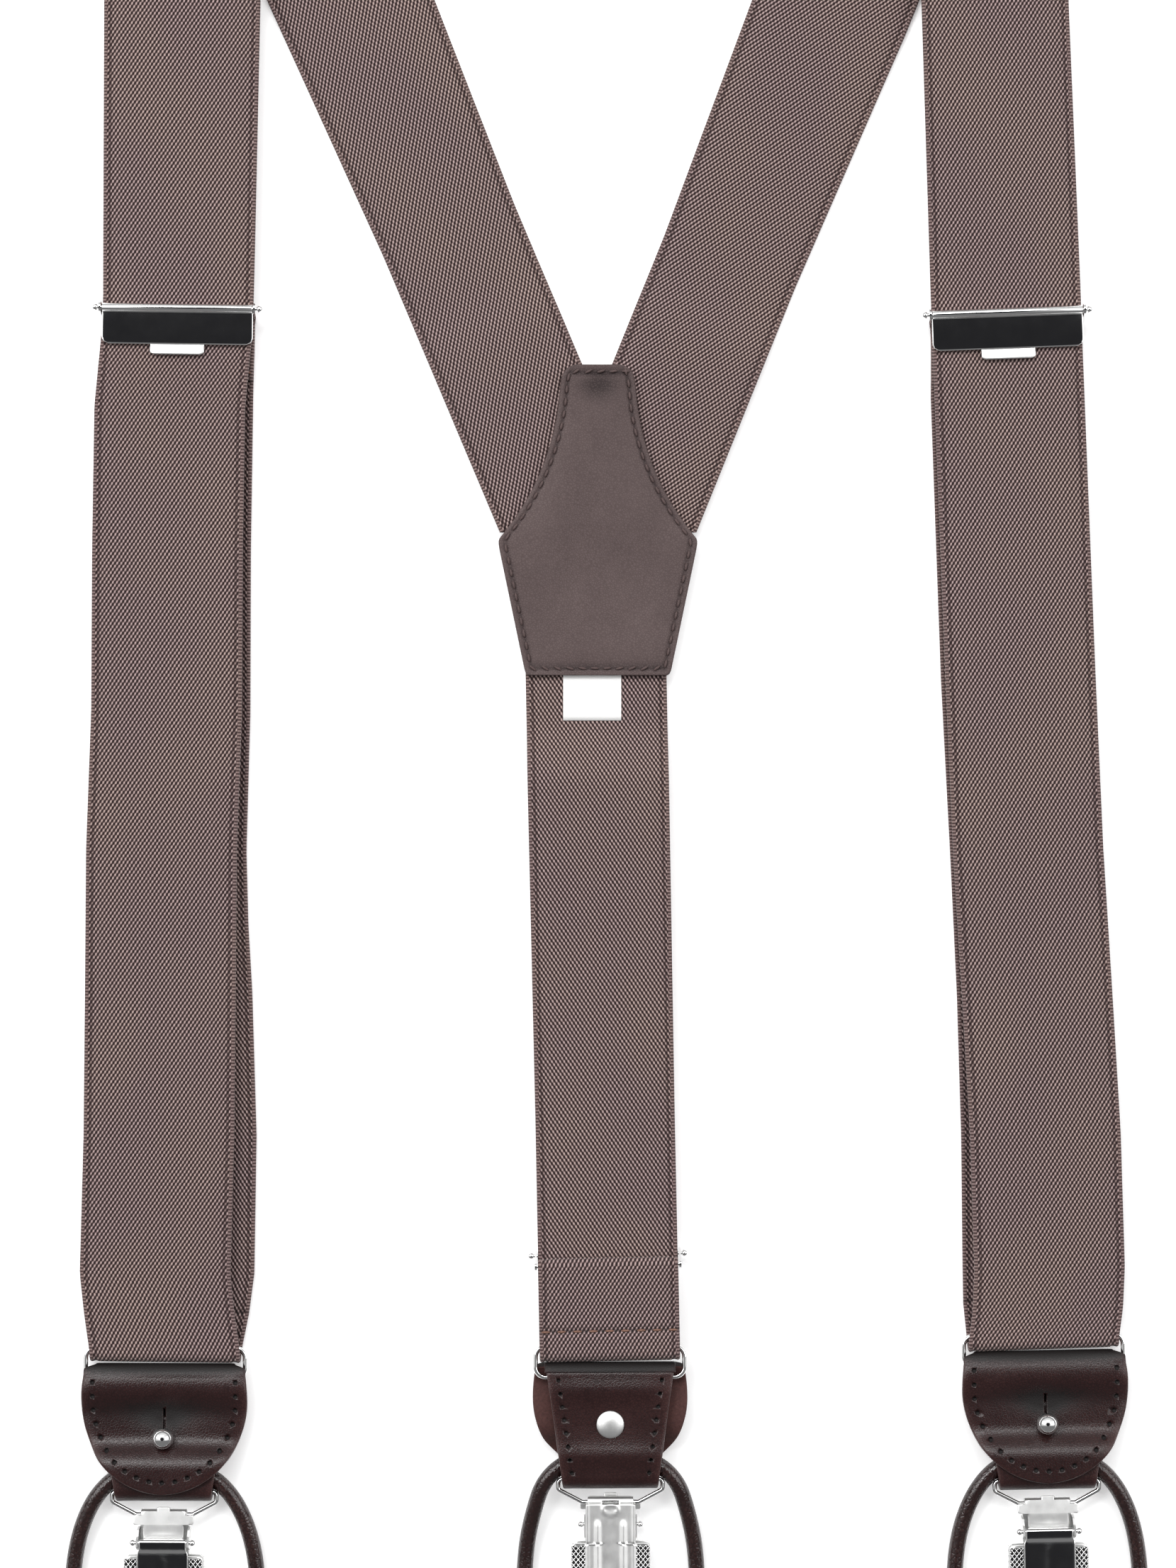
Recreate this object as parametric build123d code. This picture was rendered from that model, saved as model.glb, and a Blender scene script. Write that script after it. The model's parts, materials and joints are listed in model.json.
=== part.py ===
"""Y-back suspenders with three convertible ends, laid flat as set for wear.

+Y points to the shoulders, +Z is up from the table and +X is the right-hand side. The origin is
the middle of the footprint, on the table. The two front straps show their outer side. The back
strap and the back patch show their inner side, because the shoulders are folded over.
Every end is drawn once, in a local frame: its origin is below the ring's centre, on the table, +Y
runs up the strap and +Z is the outer side. The back end is the same end turned face down.
"""
from build123d import *
import math
import os

# Hinge pins, mm
PIN_R = 0.5
PIN_BALL_R = 0.75

# Webbing
WEB_T = 1.2
FRONT_W = 37.0
BACK_W = 34.5
SHOULDER_W = 38.5
DIAGONAL_W = 34.8
GAP = 0.1

# Levels of the webbing's middle above the table, at an end that faces up
RETURN_Z = 1.0
MAIN_Z = 5.0
BAR_Z = 2.25
TAIL_Z = 2.35
TAIL_LEN = 20.0

# Where the straps run in the flat lay, before the origin is moved to the middle of the footprint
CENTRE_X = 2.45
SHOULDERS = {
    "left": {"fold": (-98.3, 284.6), "front_lean": 0.75, "diagonal_lean": -22.88},
    "right": {"fold": (96.7, 277.8), "front_lean": -2.1, "diagonal_lean": 22.0},
}
FRONT_TAPER_Y = (-40.0, -75.0)
SHOULDER_R = 2.2
DIAGONAL_LOW_Z = 0.6
YOKE_WEB_Z = 2.1
YOKE_MEET_Y = 62.0
BACK_TOP_Y = 61.4
BACK_RAMP = (14.0, 2.0)

# Yoke patches: half outline about the centre line
PATCH_T = 1.4
PATCH_TOP_Y = 103.1
PATCH_BOTTOM_Y = 26.8
PATCH_CORNER_Y = 60.0
PATCH_HALF_TOP = 9.3
PATCH_HALF_CORNER = 24.4
PATCH_HALF_BOTTOM = 18.0
LABEL = {"size": (14.4, 15.4), "at": (1.05, 23.3), "z": (2.75, 2.95)}

# Leather ends
LEATHER_T = 1.5
RING_Z = 3.0
RING_BAR_Y = 3.75
RING_HALF_W = 19.6
WIRE_R = 0.6
CORD_R = 2.0
POCKET_Z = 4.35
POCKET_R = 2.85
HINGE_GAP_Y = -4.5
STACK_H = 10.7
STUD_BALL_R = 2.5
STUD_BALL_Z = 8.2
STUD_BASE_R = 3.7
STUD_BASE_T = 0.65
STUD_R = 1.0
FLAP_Z = 4.9
FLAP_HUMP_Z = 8.85
TAIL_LEATHER_Z = 3.2
TAB = {"top": -69.5, "bottom": -106.0, "half_w": 8.5, "thick": 3.4, "hole": (14.0, 2.2)}
CORD_X = 23.0

# Clip, with its own zero at the bail's lower bar
BAIL_R = 0.55
BAIL_HALF_TOP = 12.8
BAIL_HALF_LOW = 6.9
CLIP_LEN = 42.0
CLIP_SHEET = 0.6
CLIP_PLATE_Z = 3.1
CLIP_HALF_NECK = 6.5
CLIP_HALF_WING = 9.5
CLIP_WING_Y = -10.5
CLIP_PIN_Y = -6.2
CLIP_PIN_Z = 7.9
JAW_Z = 5.9
JAW_HINGE_Y = -1.7
LEVER_HALF_W = 5.75
LEVER_LEN = 26.5
LEVER_CAM = 1.15

# Adjuster, with its own zero at the lever's pin
ADJ_PIN_Z = 7.0
ADJ_BAR_Y = -2.0
ADJ_BARREL_R = 1.0
ADJ_EAR_T = 0.5
ADJ_FLAP_LEN = 8.0

# One row for each end: ring centre, turn of the strap and of the leather, and sizes
ENDS = {
    "front_left": {
        "ring": (-103.9, -142.3), "strap_turn": -0.75, "turn": -0.2, "web_w": FRONT_W,
        "reach": 258.9, "size": 1.0, "strip_len": 33.6, "stud_y": -17.6, "face_up": True,
    },
    "front_right": {
        "ring": (112.0, -139.1), "strap_turn": 2.1, "turn": 1.1, "web_w": FRONT_W,
        "reach": 254.8, "size": 1.0, "strip_len": 34.0, "stud_y": -17.2, "face_up": True,
    },
    "back": {
        "ring": (5.4, -141.2), "strap_turn": 1.16, "turn": 0.2, "web_w": BACK_W,
        "reach": 25.7, "size": 0.93, "strip_len": 31.2, "stud_y": -15.0, "face_up": False,
    },
}

NODES = {}


def keep(name, *solids):
    """File the solids of one node under its name."""
    NODES[name] = list(solids)


def slab(outline, low, high):
    """A plan outline given thickness between two levels."""
    return extrude(Pos(0, 0, low) * outline, high - low, dir=(0, 0, 1))


def plan(*points):
    """A straight-sided plan outline."""
    return make_face(Polyline(*points, close=True))


def bar(radius, x_half, y, z):
    """A round bar along X."""
    return Pos(0, y, z) * Rot(0, 90, 0) * Cylinder(radius, 2 * x_half)


def ball_pin(ball_x, y, z):
    """A pin along X with a ball on each end, turned as one piece."""
    neck = ball_x - math.sqrt(PIN_BALL_R**2 - PIN_R**2)
    tip = ball_x + PIN_BALL_R
    outline = Curve() + [
        Line((-tip, 0), (tip, 0)),
        ThreePointArc((tip, 0), (ball_x, PIN_BALL_R), (neck, PIN_R)),
        Line((neck, PIN_R), (-neck, PIN_R)),
        ThreePointArc((-neck, PIN_R), (-ball_x, PIN_BALL_R), (-tip, 0)),
    ]
    return Pos(0, y, z) * revolve(make_face(outline), Axis.X)


def ribbon(path_yz, radii, width, thickness):
    """A flat band of leather or webbing whose middle follows a side-view path."""
    points = [(0, y, z) for y, z in path_yz]
    path = FilletPolyline(*points, radius=radii) if len(points) > 2 else Line(*points)
    section = Plane(path @ 0, x_dir=(1, 0, 0), z_dir=path % 0) * Rectangle(width, thickness)
    return sweep(section, path=path)


def wire(points, radius, corner):
    """A closed loop of round wire with rounded corners."""
    path = FilletPolyline(*points, radius=corner, close=True)
    section = Plane(path @ 0, z_dir=path % 0) * Circle(radius)
    return sweep(section, path=path)


def end_place(end):
    """Where an end's leather and metal stand."""
    return place(end, end["turn"])


def strap_place(end):
    """Where an end's webbing and adjuster stand."""
    return place(end, end["strap_turn"])


def place(end, turn):
    """An end's frame in the flat lay, turned face down for the back."""
    x, y = end["ring"]
    flat = Pos(x, y, 0) * Rot(0, 0, turn)
    if end["face_up"]:
        return flat
    return flat * Pos(0, 0, STACK_H) * Rot(0, 180, 0)


# ---------------------------------------------------------------- straps that belong to the yoke

def shoulder_frame(side):
    """A frame on the shoulder's fold line: +X along the fold, +Y away from the straps."""
    data = SHOULDERS[side]
    tilt = (data["diagonal_lean"] + data["front_lean"]) / 2
    x, y = data["fold"]
    return Pos(x, y, 0) * Rot(0, 0, -tilt)


def front_run(side, end):
    """Front webbing from the shoulder's fold down to the adjuster, with the fold itself."""
    data = SHOULDERS[side]
    fold_x, fold_y = data["fold"]
    ring_x, ring_y = end["ring"]
    length = math.hypot(fold_x - ring_x, fold_y - ring_y) - end["reach"] - 3.0
    run = plan(
        (-SHOULDER_W / 2, 12), (SHOULDER_W / 2, 12), (SHOULDER_W / 2, FRONT_TAPER_Y[0]),
        (FRONT_W / 2, FRONT_TAPER_Y[1]), (FRONT_W / 2, -length), (-FRONT_W / 2, -length),
        (-FRONT_W / 2, FRONT_TAPER_Y[1]), (-SHOULDER_W / 2, FRONT_TAPER_Y[0]),
    )
    down = Pos(fold_x, fold_y, 0) * Rot(0, 0, -data["front_lean"])
    run = down * slab(run, MAIN_Z - WEB_T / 2, MAIN_Z + WEB_T / 2)
    frame = shoulder_frame(side)
    run -= frame * Pos(0, 50, 0) * Box(200, 100, 40)
    tilt = math.radians(abs(data["diagonal_lean"] - data["front_lean"]) / 2)
    fold_w = SHOULDER_W / math.cos(tilt)
    outer = bar(SHOULDER_R + WEB_T / 2, fold_w / 2, 0, MAIN_Z - SHOULDER_R)
    outer -= bar(SHOULDER_R - WEB_T / 2, fold_w, 0, MAIN_Z - SHOULDER_R)
    outer -= Pos(0, -50, 0) * Box(200, 100, 40)
    return run + frame * outer


def diagonal_run(side):
    """Webbing from the shoulder's fold down into the yoke, mitred on the centre line."""
    data = SHOULDERS[side]
    fold_x, fold_y = data["fold"]
    lean = math.radians(data["diagonal_lean"])
    length = (fold_y - YOKE_MEET_Y) / math.cos(lean) + 20
    ramp_end = length - 62
    path = [(12, DIAGONAL_LOW_Z), (-(ramp_end - 10), DIAGONAL_LOW_Z), (-ramp_end, YOKE_WEB_Z),
            (-length, YOKE_WEB_Z)]
    band = ribbon(path, [12, 12], 60, WEB_T)
    run = plan(
        (-SHOULDER_W / 2, 12), (SHOULDER_W / 2, 12), (SHOULDER_W / 2, -85),
        (DIAGONAL_W / 2, -160), (DIAGONAL_W / 2, -length), (-DIAGONAL_W / 2, -length),
        (-DIAGONAL_W / 2, -160), (-SHOULDER_W / 2, -85),
    )
    band = band & slab(run, -1, 8)
    band = Pos(fold_x, fold_y, 0) * Rot(0, 0, -data["diagonal_lean"]) * band
    band -= shoulder_frame(side) * Pos(0, 50 - GAP, 0) * Box(200, 100, 40)
    band -= Pos(0, YOKE_MEET_Y - 50, 0) * Box(300, 100, 40)
    across = 100 if side == "left" else -100
    band -= Pos(CENTRE_X + across - math.copysign(GAP / 2, across), 100, 0) * Box(200, 300, 40)
    return band


def patch_outline():
    """Plan of the yoke patch: a narrow top that flares to two corners, then tapers to the foot."""
    def side(sign):
        def at(x, y):
            return (CENTRE_X + sign * x, y)
        return [
            Line(at(0, PATCH_TOP_Y), at(PATCH_HALF_TOP - 4, PATCH_TOP_Y)),
            ThreePointArc(
                at(PATCH_HALF_TOP - 4, PATCH_TOP_Y), at(PATCH_HALF_TOP - 1.2, PATCH_TOP_Y - 1.6),
                at(PATCH_HALF_TOP, PATCH_TOP_Y - 5),
            ),
            ThreePointArc(
                at(PATCH_HALF_TOP, PATCH_TOP_Y - 5), at(12.9, 80.0),
                at(PATCH_HALF_CORNER - 0.8, PATCH_CORNER_Y + 1.2),
            ),
            ThreePointArc(
                at(PATCH_HALF_CORNER - 0.8, PATCH_CORNER_Y + 1.2),
                at(PATCH_HALF_CORNER, PATCH_CORNER_Y), at(PATCH_HALF_CORNER, PATCH_CORNER_Y - 1.6),
            ),
            Line(
                at(PATCH_HALF_CORNER, PATCH_CORNER_Y - 1.6),
                at(PATCH_HALF_BOTTOM, PATCH_BOTTOM_Y + 1.2),
            ),
            Line(
                at(PATCH_HALF_BOTTOM, PATCH_BOTTOM_Y + 1.2),
                at(PATCH_HALF_BOTTOM - 1.2, PATCH_BOTTOM_Y),
            ),
            Line(at(PATCH_HALF_BOTTOM - 1.2, PATCH_BOTTOM_Y), at(0, PATCH_BOTTOM_Y)),
        ]
    return make_face(Curve() + side(1) + side(-1))


def back_run(end):
    """Back webbing from the yoke's foot to the adjuster, rising to the level of the end."""
    high = STACK_H - MAIN_Z
    stop = end["ring"][1] + end["reach"] + 3.0
    path = [(BACK_TOP_Y, YOKE_WEB_Z), (BACK_RAMP[0], YOKE_WEB_Z), (BACK_RAMP[1], high), (stop, high)]
    band = ribbon(path, [14, 14], BACK_W, WEB_T)
    ring_x, ring_y = end["ring"]
    turn = end["strap_turn"]
    return Pos(ring_x, ring_y, 0) * Rot(0, 0, turn) * Pos(0, -ring_y, 0) * band


def yoke():
    """The patches, the label and the five runs of webbing that meet in the yoke."""
    outline = patch_outline()
    top = YOKE_WEB_Z + WEB_T / 2 + 0.3
    keep("yoke_patch_outer", slab(outline, 0, PATCH_T))
    keep("yoke_patch_inner", slab(outline, top, top + PATCH_T))
    x, y = LABEL["at"]
    wide, tall = LABEL["size"]
    low, high = LABEL["z"]
    keep("label", Pos(x, y, (low + high) / 2) * Box(wide, tall, high - low))
    for side in SHOULDERS:
        keep(f"{side}_shoulder_strap", diagonal_run(side))
        keep(f"{side}_front_strap", front_run(side, ENDS[f"front_{side}"]))
    keep("back_strap", back_run(ENDS["back"]))


# ---------------------------------------------------------------- webbing loop and adjuster

def strap_loop(end):
    """The webbing's lower run: down to the ring, round it, up to the adjuster and sewn back."""
    reach = end["reach"]
    fold_y = 0.15 + WEB_T / 2
    bar_y = reach + ADJ_BAR_Y
    wrap = BAR_Z - RETURN_Z
    path = [
        (reach + 3.0 - GAP, MAIN_Z), (fold_y, MAIN_Z), (fold_y, RETURN_Z),
        (bar_y + wrap, RETURN_Z), (bar_y + wrap, BAR_Z + wrap), (bar_y - 1.5, BAR_Z + wrap),
        (bar_y - 5.5, TAIL_Z), (bar_y - min(TAIL_LEN, reach - 8), TAIL_Z),
    ]
    main_r = (MAIN_Z - RETURN_Z) / 2 - 0.01
    bar_r = wrap - 0.01
    return ribbon(path, [main_r, main_r, bar_r, bar_r, 2.0, 2.0], end["web_w"], WEB_T)


def adjuster(end):
    """Frame, pin and lever of the sliding adjuster."""
    inner = end["web_w"] / 2 + 0.15
    outer = inner + ADJ_EAR_T
    ear = Plane.YZ * make_hull(
        (Pos(ADJ_BAR_Y, BAR_Z) * Circle(1.0)).edges() + (Pos(0, ADJ_PIN_Z) * Circle(1.4)).edges()
    )
    frame = bar(PIN_R, outer, ADJ_BAR_Y, BAR_Z)
    for sign in (-1, 1):
        at = sign * (inner + outer) / 2
        frame += Pos(at - ADJ_EAR_T / 2, 0, 0) * extrude(ear, ADJ_EAR_T, dir=(1, 0, 0))
    frame -= bar(PIN_R + 0.04, 40, 0, ADJ_PIN_Z)
    ball_x = outer + 0.8
    pin = ball_pin(ball_x, 0, ADJ_PIN_Z)
    half = inner - 0.15
    sheet = 0.7
    lever_low = ADJ_PIN_Z - ADJ_BARREL_R + 0.25
    flap = plan(
        (-half, 0), (half, 0), (half, -ADJ_FLAP_LEN + 1.5), (half - 1.5, -ADJ_FLAP_LEN),
        (-half + 1.5, -ADJ_FLAP_LEN), (-half, -ADJ_FLAP_LEN + 1.5),
    )
    lever = bar(ADJ_BARREL_R, half, 0, ADJ_PIN_Z) + slab(flap, lever_low, lever_low + sheet)
    tab = ribbon(
        [(-ADJ_FLAP_LEN + 0.5, lever_low + sheet / 2), (-ADJ_FLAP_LEN - 0.6, lever_low + sheet / 2),
         (-ADJ_FLAP_LEN - 2.6, lever_low + sheet / 2 + 0.8)], [0.8], 13.3, sheet,
    )
    lever += tab
    lever -= bar(PIN_R + 0.06, 40, 0, ADJ_PIN_Z)
    return frame, pin, lever


# ---------------------------------------------------------------- leather end

def stations(end):
    """Places along an end that follow from the length of its leather strip."""
    foot = -end["strip_len"]
    bail_y = foot + LEATHER_T + BAIL_R + 0.15
    cord_y = bail_y + 5.1
    return {
        "foot": foot, "bail": bail_y, "cord": cord_y, "hump": cord_y + 1.8, "flat": cord_y + 6.0,
        "clip": bail_y - 5.6,
    }


def ring(end):
    """Oblong wire ring between the webbing and the leather."""
    x = RING_HALF_W * end["size"]
    corners = [(-x, -RING_BAR_Y), (x, -RING_BAR_Y), (x, RING_BAR_Y), (-x, RING_BAR_Y)]
    return Pos(0, 0, RING_Z) * wire(corners, WIRE_R, 2.6)


def leather_strip(end):
    """Inner strip: over the ring's lower bar, down, round the bail and the cord, up to the stud."""
    at = stations(end)
    fold = LEATHER_T / 2 + 0.75
    top = -0.15 - LEATHER_T / 2
    foot = at["foot"] + LEATHER_T / 2
    low = POCKET_Z - POCKET_R
    path = [
        (HINGE_GAP_Y, RING_Z + fold), (top, RING_Z + fold), (top, RING_Z - fold),
        (foot, low), (foot, POCKET_Z + POCKET_R), (at["hump"], POCKET_Z + POCKET_R),
        (at["flat"], TAIL_LEATHER_Z), (end["stud_y"] + 4.6, TAIL_LEATHER_Z),
    ]
    ring_r = fold - 0.01
    pocket_r = POCKET_R - 0.01
    band = ribbon(path, [ring_r, ring_r, pocket_r, pocket_r, 2.5, 2.5], 50, LEATHER_T)
    wide = 17.2 * end["size"]
    narrow = 11.4
    trim = plan((-wide, 1), (wide, 1), (narrow, at["foot"] - 1), (-narrow, at["foot"] - 1))
    hole = Pos(0, end["stud_y"], 3) * Cylinder(STUD_R + 0.05, 10)
    return (band & slab(trim, 0, 10)) - hole


def flap(end):
    """Outer D-shaped flap, buttoned over the ball stud through a keyhole."""
    at = stations(end)
    start = HINGE_GAP_Y - GAP
    foot = at["foot"] + 2.4
    path = [
        (start, RING_Z + 1.5), (start - 6, FLAP_Z), (at["flat"] + 1.1, FLAP_Z),
        (at["hump"] + 1.0, FLAP_HUMP_Z), (foot - 1, FLAP_HUMP_Z),
    ]
    band = ribbon(path, [6, 2.5, 2.5], 50, LEATHER_T)
    wide = 20.4 * end["size"]
    shoulder = -9.0
    left = Line((-wide, shoulder), (-wide + 1.5, 1))
    outline = Curve() + [
        left, Line((-wide + 1.5, 1), (wide - 1.5, 1)), Line((wide - 1.5, 1), (wide, shoulder)),
        EllipticalCenterArc((0, shoulder), wide, shoulder - foot, start_angle=180, arc_size=180),
    ]
    keyhole = Pos(0, end["stud_y"], 5) * Cylinder(STUD_R + 0.4, 20)
    keyhole += Pos(0, end["stud_y"] + 3.5, 5) * Box(0.6, 7, 20)
    return (band & slab(make_face(outline), 2, 12)) - keyhole


def stud(end):
    """Ball stud: a flat base behind the leather and a ball on a neck in front."""
    base = Pos(0, 0, STUD_BASE_T / 2) * Cylinder(STUD_BASE_R, STUD_BASE_T)
    base += Pos(0, 0, 2.0) * Cylinder(STUD_R, 4.0)
    ball = Pos(0, 0, STUD_BALL_Z) * Sphere(STUD_BALL_R)
    ball += Pos(0, 0, 5.5) * Cylinder(STUD_R, 3.0)
    here = Pos(0, end["stud_y"], 0)
    return here * base, here * ball


def cord_points(end):
    """Route of the rolled leather cord, from one button tab over the pocket to the other."""
    cord_y = stations(end)["cord"]
    lie = CORD_R + 0.05
    if not end["face_up"]:
        lie = STACK_H - lie
    drop = lie - POCKET_Z
    reach = CORD_X * end["size"]
    tip = TAB["top"]
    right = [
        (10.5, cord_y - 0.3, POCKET_Z),
        (16.4, cord_y - 5.4, POCKET_Z),
        (0.885 * reach, cord_y - 13.3, POCKET_Z + 0.45 * drop),
        (0.975 * reach, cord_y - 22.4, POCKET_Z + 0.9 * drop),
        (reach, (cord_y - 22.4 + tip) / 2, lie),
        (reach, tip, lie),
    ]
    left = [(-x, y, z) for x, y, z in reversed(right)]
    return left + [(0, cord_y + 0.2, POCKET_Z)] + right


def cord(end):
    """The cord as straight runs joined by arcs as large as the runs allow."""
    points = [Vector(*p) for p in cord_points(end)]
    radii = []
    for before, here, after in zip(points, points[1:], points[2:]):
        turn = (here - before).get_angle(after - here)
        shorter = min((here - before).length, (after - here).length)
        radii.append(0.45 * shorter / math.tan(math.radians(turn / 2)))
    path = FilletPolyline(*points, radius=radii)
    solid = sweep(Plane(path @ 0, z_dir=path % 0) * Circle(CORD_R), path=path)
    print("cord: length", round(path.length, 1), "volume over section x length",
          round(solid.volume / (path.length * math.pi * CORD_R**2), 3),
          "least radius", round(min(radii), 1))
    return solid


def button_tabs(end):
    """Two flat leather tabs with buttonholes, one on each end of the cord."""
    top, bottom, half = TAB["top"], TAB["bottom"], TAB["half_w"]
    outline = Curve() + [
        Line((-2.6, top), (2.6, top)), Line((2.6, top), (half, top - 7)),
        Line((half, top - 7), (half, bottom + half)),
        ThreePointArc((half, bottom + half), (0, bottom), (-half, bottom + half)),
        Line((-half, bottom + half), (-half, top - 7)), Line((-half, top - 7), (-2.6, top)),
    ]
    thick = TAB["thick"]
    low = 0 if end["face_up"] else STACK_H - thick
    long, wide = TAB["hole"]
    body = slab(make_face(outline), low, low + thick)
    body -= Pos(0, (top + bottom) / 2 - 3, 0) * slab(SlotOverall(long, wide, 90), -1, 20)
    x = CORD_X * end["size"]
    return Pos(-x, 0, 0) * body, Pos(x, 0, 0) * body


def bail(end):
    """Wire bail that hangs in the pocket and carries the clip."""
    at = stations(end)
    knee = at["foot"] - 0.3
    corners = [
        (-BAIL_HALF_TOP, at["bail"]), (BAIL_HALF_TOP, at["bail"]), (BAIL_HALF_TOP, knee),
        (BAIL_HALF_LOW, at["clip"]), (-BAIL_HALF_LOW, at["clip"]), (-BAIL_HALF_TOP, knee),
    ]
    return Pos(0, 0, POCKET_Z) * wire(corners, BAIL_R, 1.0)


# ---------------------------------------------------------------- clip, zero at the bail's lower bar

def clip_back():
    """Back plate: barrel on the bail, ears for the pin, embossed ribs and the fixed jaw."""
    high = CLIP_PLATE_Z + CLIP_SHEET
    low = CLIP_PLATE_Z
    barrel_r = POCKET_Z - CLIP_PLATE_Z
    neck = plan((-5.6, 0), (5.6, 0), (5.6, -2), (CLIP_HALF_NECK, -2), (CLIP_HALF_NECK, -12),
                (-CLIP_HALF_NECK, -12), (-CLIP_HALF_NECK, -2), (-5.6, -2))
    wing = Pos(0, (CLIP_WING_Y - CLIP_LEN) / 2) * RectangleRounded(
        2 * CLIP_HALF_WING, CLIP_LEN + CLIP_WING_Y, 1.4)
    plate = slab(neck, low, high) + slab(wing, low, high)
    plate += bar(barrel_r, 5.6, 0, POCKET_Z)
    plate -= bar(BAIL_R + 0.06, 20, 0, POCKET_Z)
    plate -= Pos(0, 0.1, CLIP_PLATE_Z) * Box(4.2, 2.6, 2.0)
    rib = Pos(0, -12) * SlotOverall(19, 7.4, 90) - Pos(0, -12) * SlotOverall(15.8, 4.2, 90)
    plate += slab(rib, low - 0.3, low)
    ear = Plane.YZ * make_face(Polyline(
        (-3.4, low), (-3.4, 6.4), (CLIP_PIN_Y + 1.3, CLIP_PIN_Z - 0.4), (CLIP_PIN_Y + 1.0, 8.8),
        (CLIP_PIN_Y - 1.0, 8.8), (-8.4, 6.0), (-8.4, low), close=True))
    for at in (-CLIP_HALF_NECK, CLIP_HALF_NECK - 0.5):
        plate += Pos(at, 0, 0) * extrude(ear, 0.5, dir=(1, 0, 0))
    plate -= bar(PIN_R + 0.04, 20, CLIP_PIN_Y, CLIP_PIN_Z)
    return plate


def clip_jaw():
    """Moving front jaw: a T head that rests on the back plate, a neck and two wings."""
    outline = plan(
        (-7.5, -0.4), (7.5, -0.4), (7.5, -3.1), (5.0, -3.1), (5.0, -9.6), (7.0, CLIP_WING_Y),
        (CLIP_HALF_WING, CLIP_WING_Y), (CLIP_HALF_WING, -CLIP_LEN + 1.2),
        (CLIP_HALF_WING - 1.2, -CLIP_LEN), (-CLIP_HALF_WING + 1.2, -CLIP_LEN),
        (-CLIP_HALF_WING, -CLIP_LEN + 1.2), (-CLIP_HALF_WING, CLIP_WING_Y), (-7.0, CLIP_WING_Y),
        (-5.0, -9.6), (-5.0, -3.1), (-7.5, -3.1),
    )
    return slab(outline, JAW_Z, JAW_Z + CLIP_SHEET)


def clip_lever():
    """Front lever with a cam on the pin, and a lip to lift it by."""
    here = bar(0.85, LEVER_HALF_W, CLIP_PIN_Y, CLIP_PIN_Z)
    here += Pos(0, CLIP_PIN_Y, CLIP_PIN_Z - LEVER_CAM / 2) * Box(2 * LEVER_HALF_W, 0.9, LEVER_CAM)
    top = CLIP_PIN_Z + 0.85 - CLIP_SHEET / 2
    end_y = CLIP_PIN_Y - LEVER_LEN
    plate = ribbon([(CLIP_PIN_Y, top), (end_y + 4, top), (end_y, top + 1.0)], [8],
                   2 * LEVER_HALF_W, CLIP_SHEET)
    here += plate
    here -= bar(PIN_R + 0.06, 20, CLIP_PIN_Y, CLIP_PIN_Z)
    return here


def clip_pin():
    """Pin with a ball on each end."""
    return ball_pin(CLIP_HALF_NECK + 0.8, CLIP_PIN_Y, CLIP_PIN_Z)


def grip_pads():
    """Moulded grip pads on the facing sides of the two jaws."""
    pad = Pos(0, -CLIP_LEN + 8.5) * RectangleRounded(16.6, 14.0, 1.2)
    low = CLIP_PLATE_Z + CLIP_SHEET
    return slab(pad, low, low + 0.85), slab(pad, JAW_Z - 0.85, JAW_Z)


def build_end(name, end):
    """All nodes of one end, moved to their place."""
    along = strap_place(end)
    keep(f"{name}_strap_loop", along * strap_loop(end))
    at_adjuster = along * Pos(0, end["reach"], 0)
    frame, pin, lever = adjuster(end)
    keep(f"{name}_adjuster_frame", at_adjuster * frame)
    keep(f"{name}_adjuster_pin", at_adjuster * pin)
    keep(f"{name}_adjuster_lever", at_adjuster * lever)
    here = end_place(end)
    keep(f"{name}_ring", here * ring(end))
    keep(f"{name}_leather_strip", here * leather_strip(end))
    keep(f"{name}_flap", here * flap(end))
    base, ball = stud(end)
    keep(f"{name}_stud", here * base, here * ball)
    keep(f"{name}_cord", here * cord(end))
    left_tab, right_tab = button_tabs(end)
    keep(f"{name}_button_tabs", here * left_tab, here * right_tab)
    keep(f"{name}_bail", here * bail(end))
    at_clip = here * Pos(0, stations(end)["clip"], 0)
    keep(f"{name}_clip_back", at_clip * clip_back())
    keep(f"{name}_clip_jaw", at_clip * clip_jaw())
    keep(f"{name}_clip_lever", at_clip * clip_lever())
    keep(f"{name}_clip_pin", at_clip * clip_pin())
    back_pad, front_pad = grip_pads()
    keep(f"{name}_grip_pad_back", at_clip * back_pad)
    keep(f"{name}_grip_pad_front", at_clip * front_pad)


yoke()
for end_name, end_row in ENDS.items():
    build_end(end_name, end_row)

box = Compound([solid for solids in NODES.values() for solid in solids]).bounding_box()
middle = box.center()
TO_ORIGIN = Pos(-middle.X, -middle.Y, -box.min.Z)
print("size", box.size, "moved by", TO_ORIGIN.position)

os.makedirs("parts", exist_ok=True)
for node, solids in NODES.items():
    moved = [TO_ORIGIN * solid for solid in solids]
    shape = moved[0] if len(moved) == 1 else Compound(moved)
    export_step(shape, f"parts/{node}.step")
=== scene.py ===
"""Y-back suspenders in a flat lay: webbing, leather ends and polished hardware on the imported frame.

Everything is in metres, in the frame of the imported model. MM turns millimetres into metres.
"""
import json
import math
import random

import bmesh
import bpy
import numpy as np
from mathutils import Matrix, Vector


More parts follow.
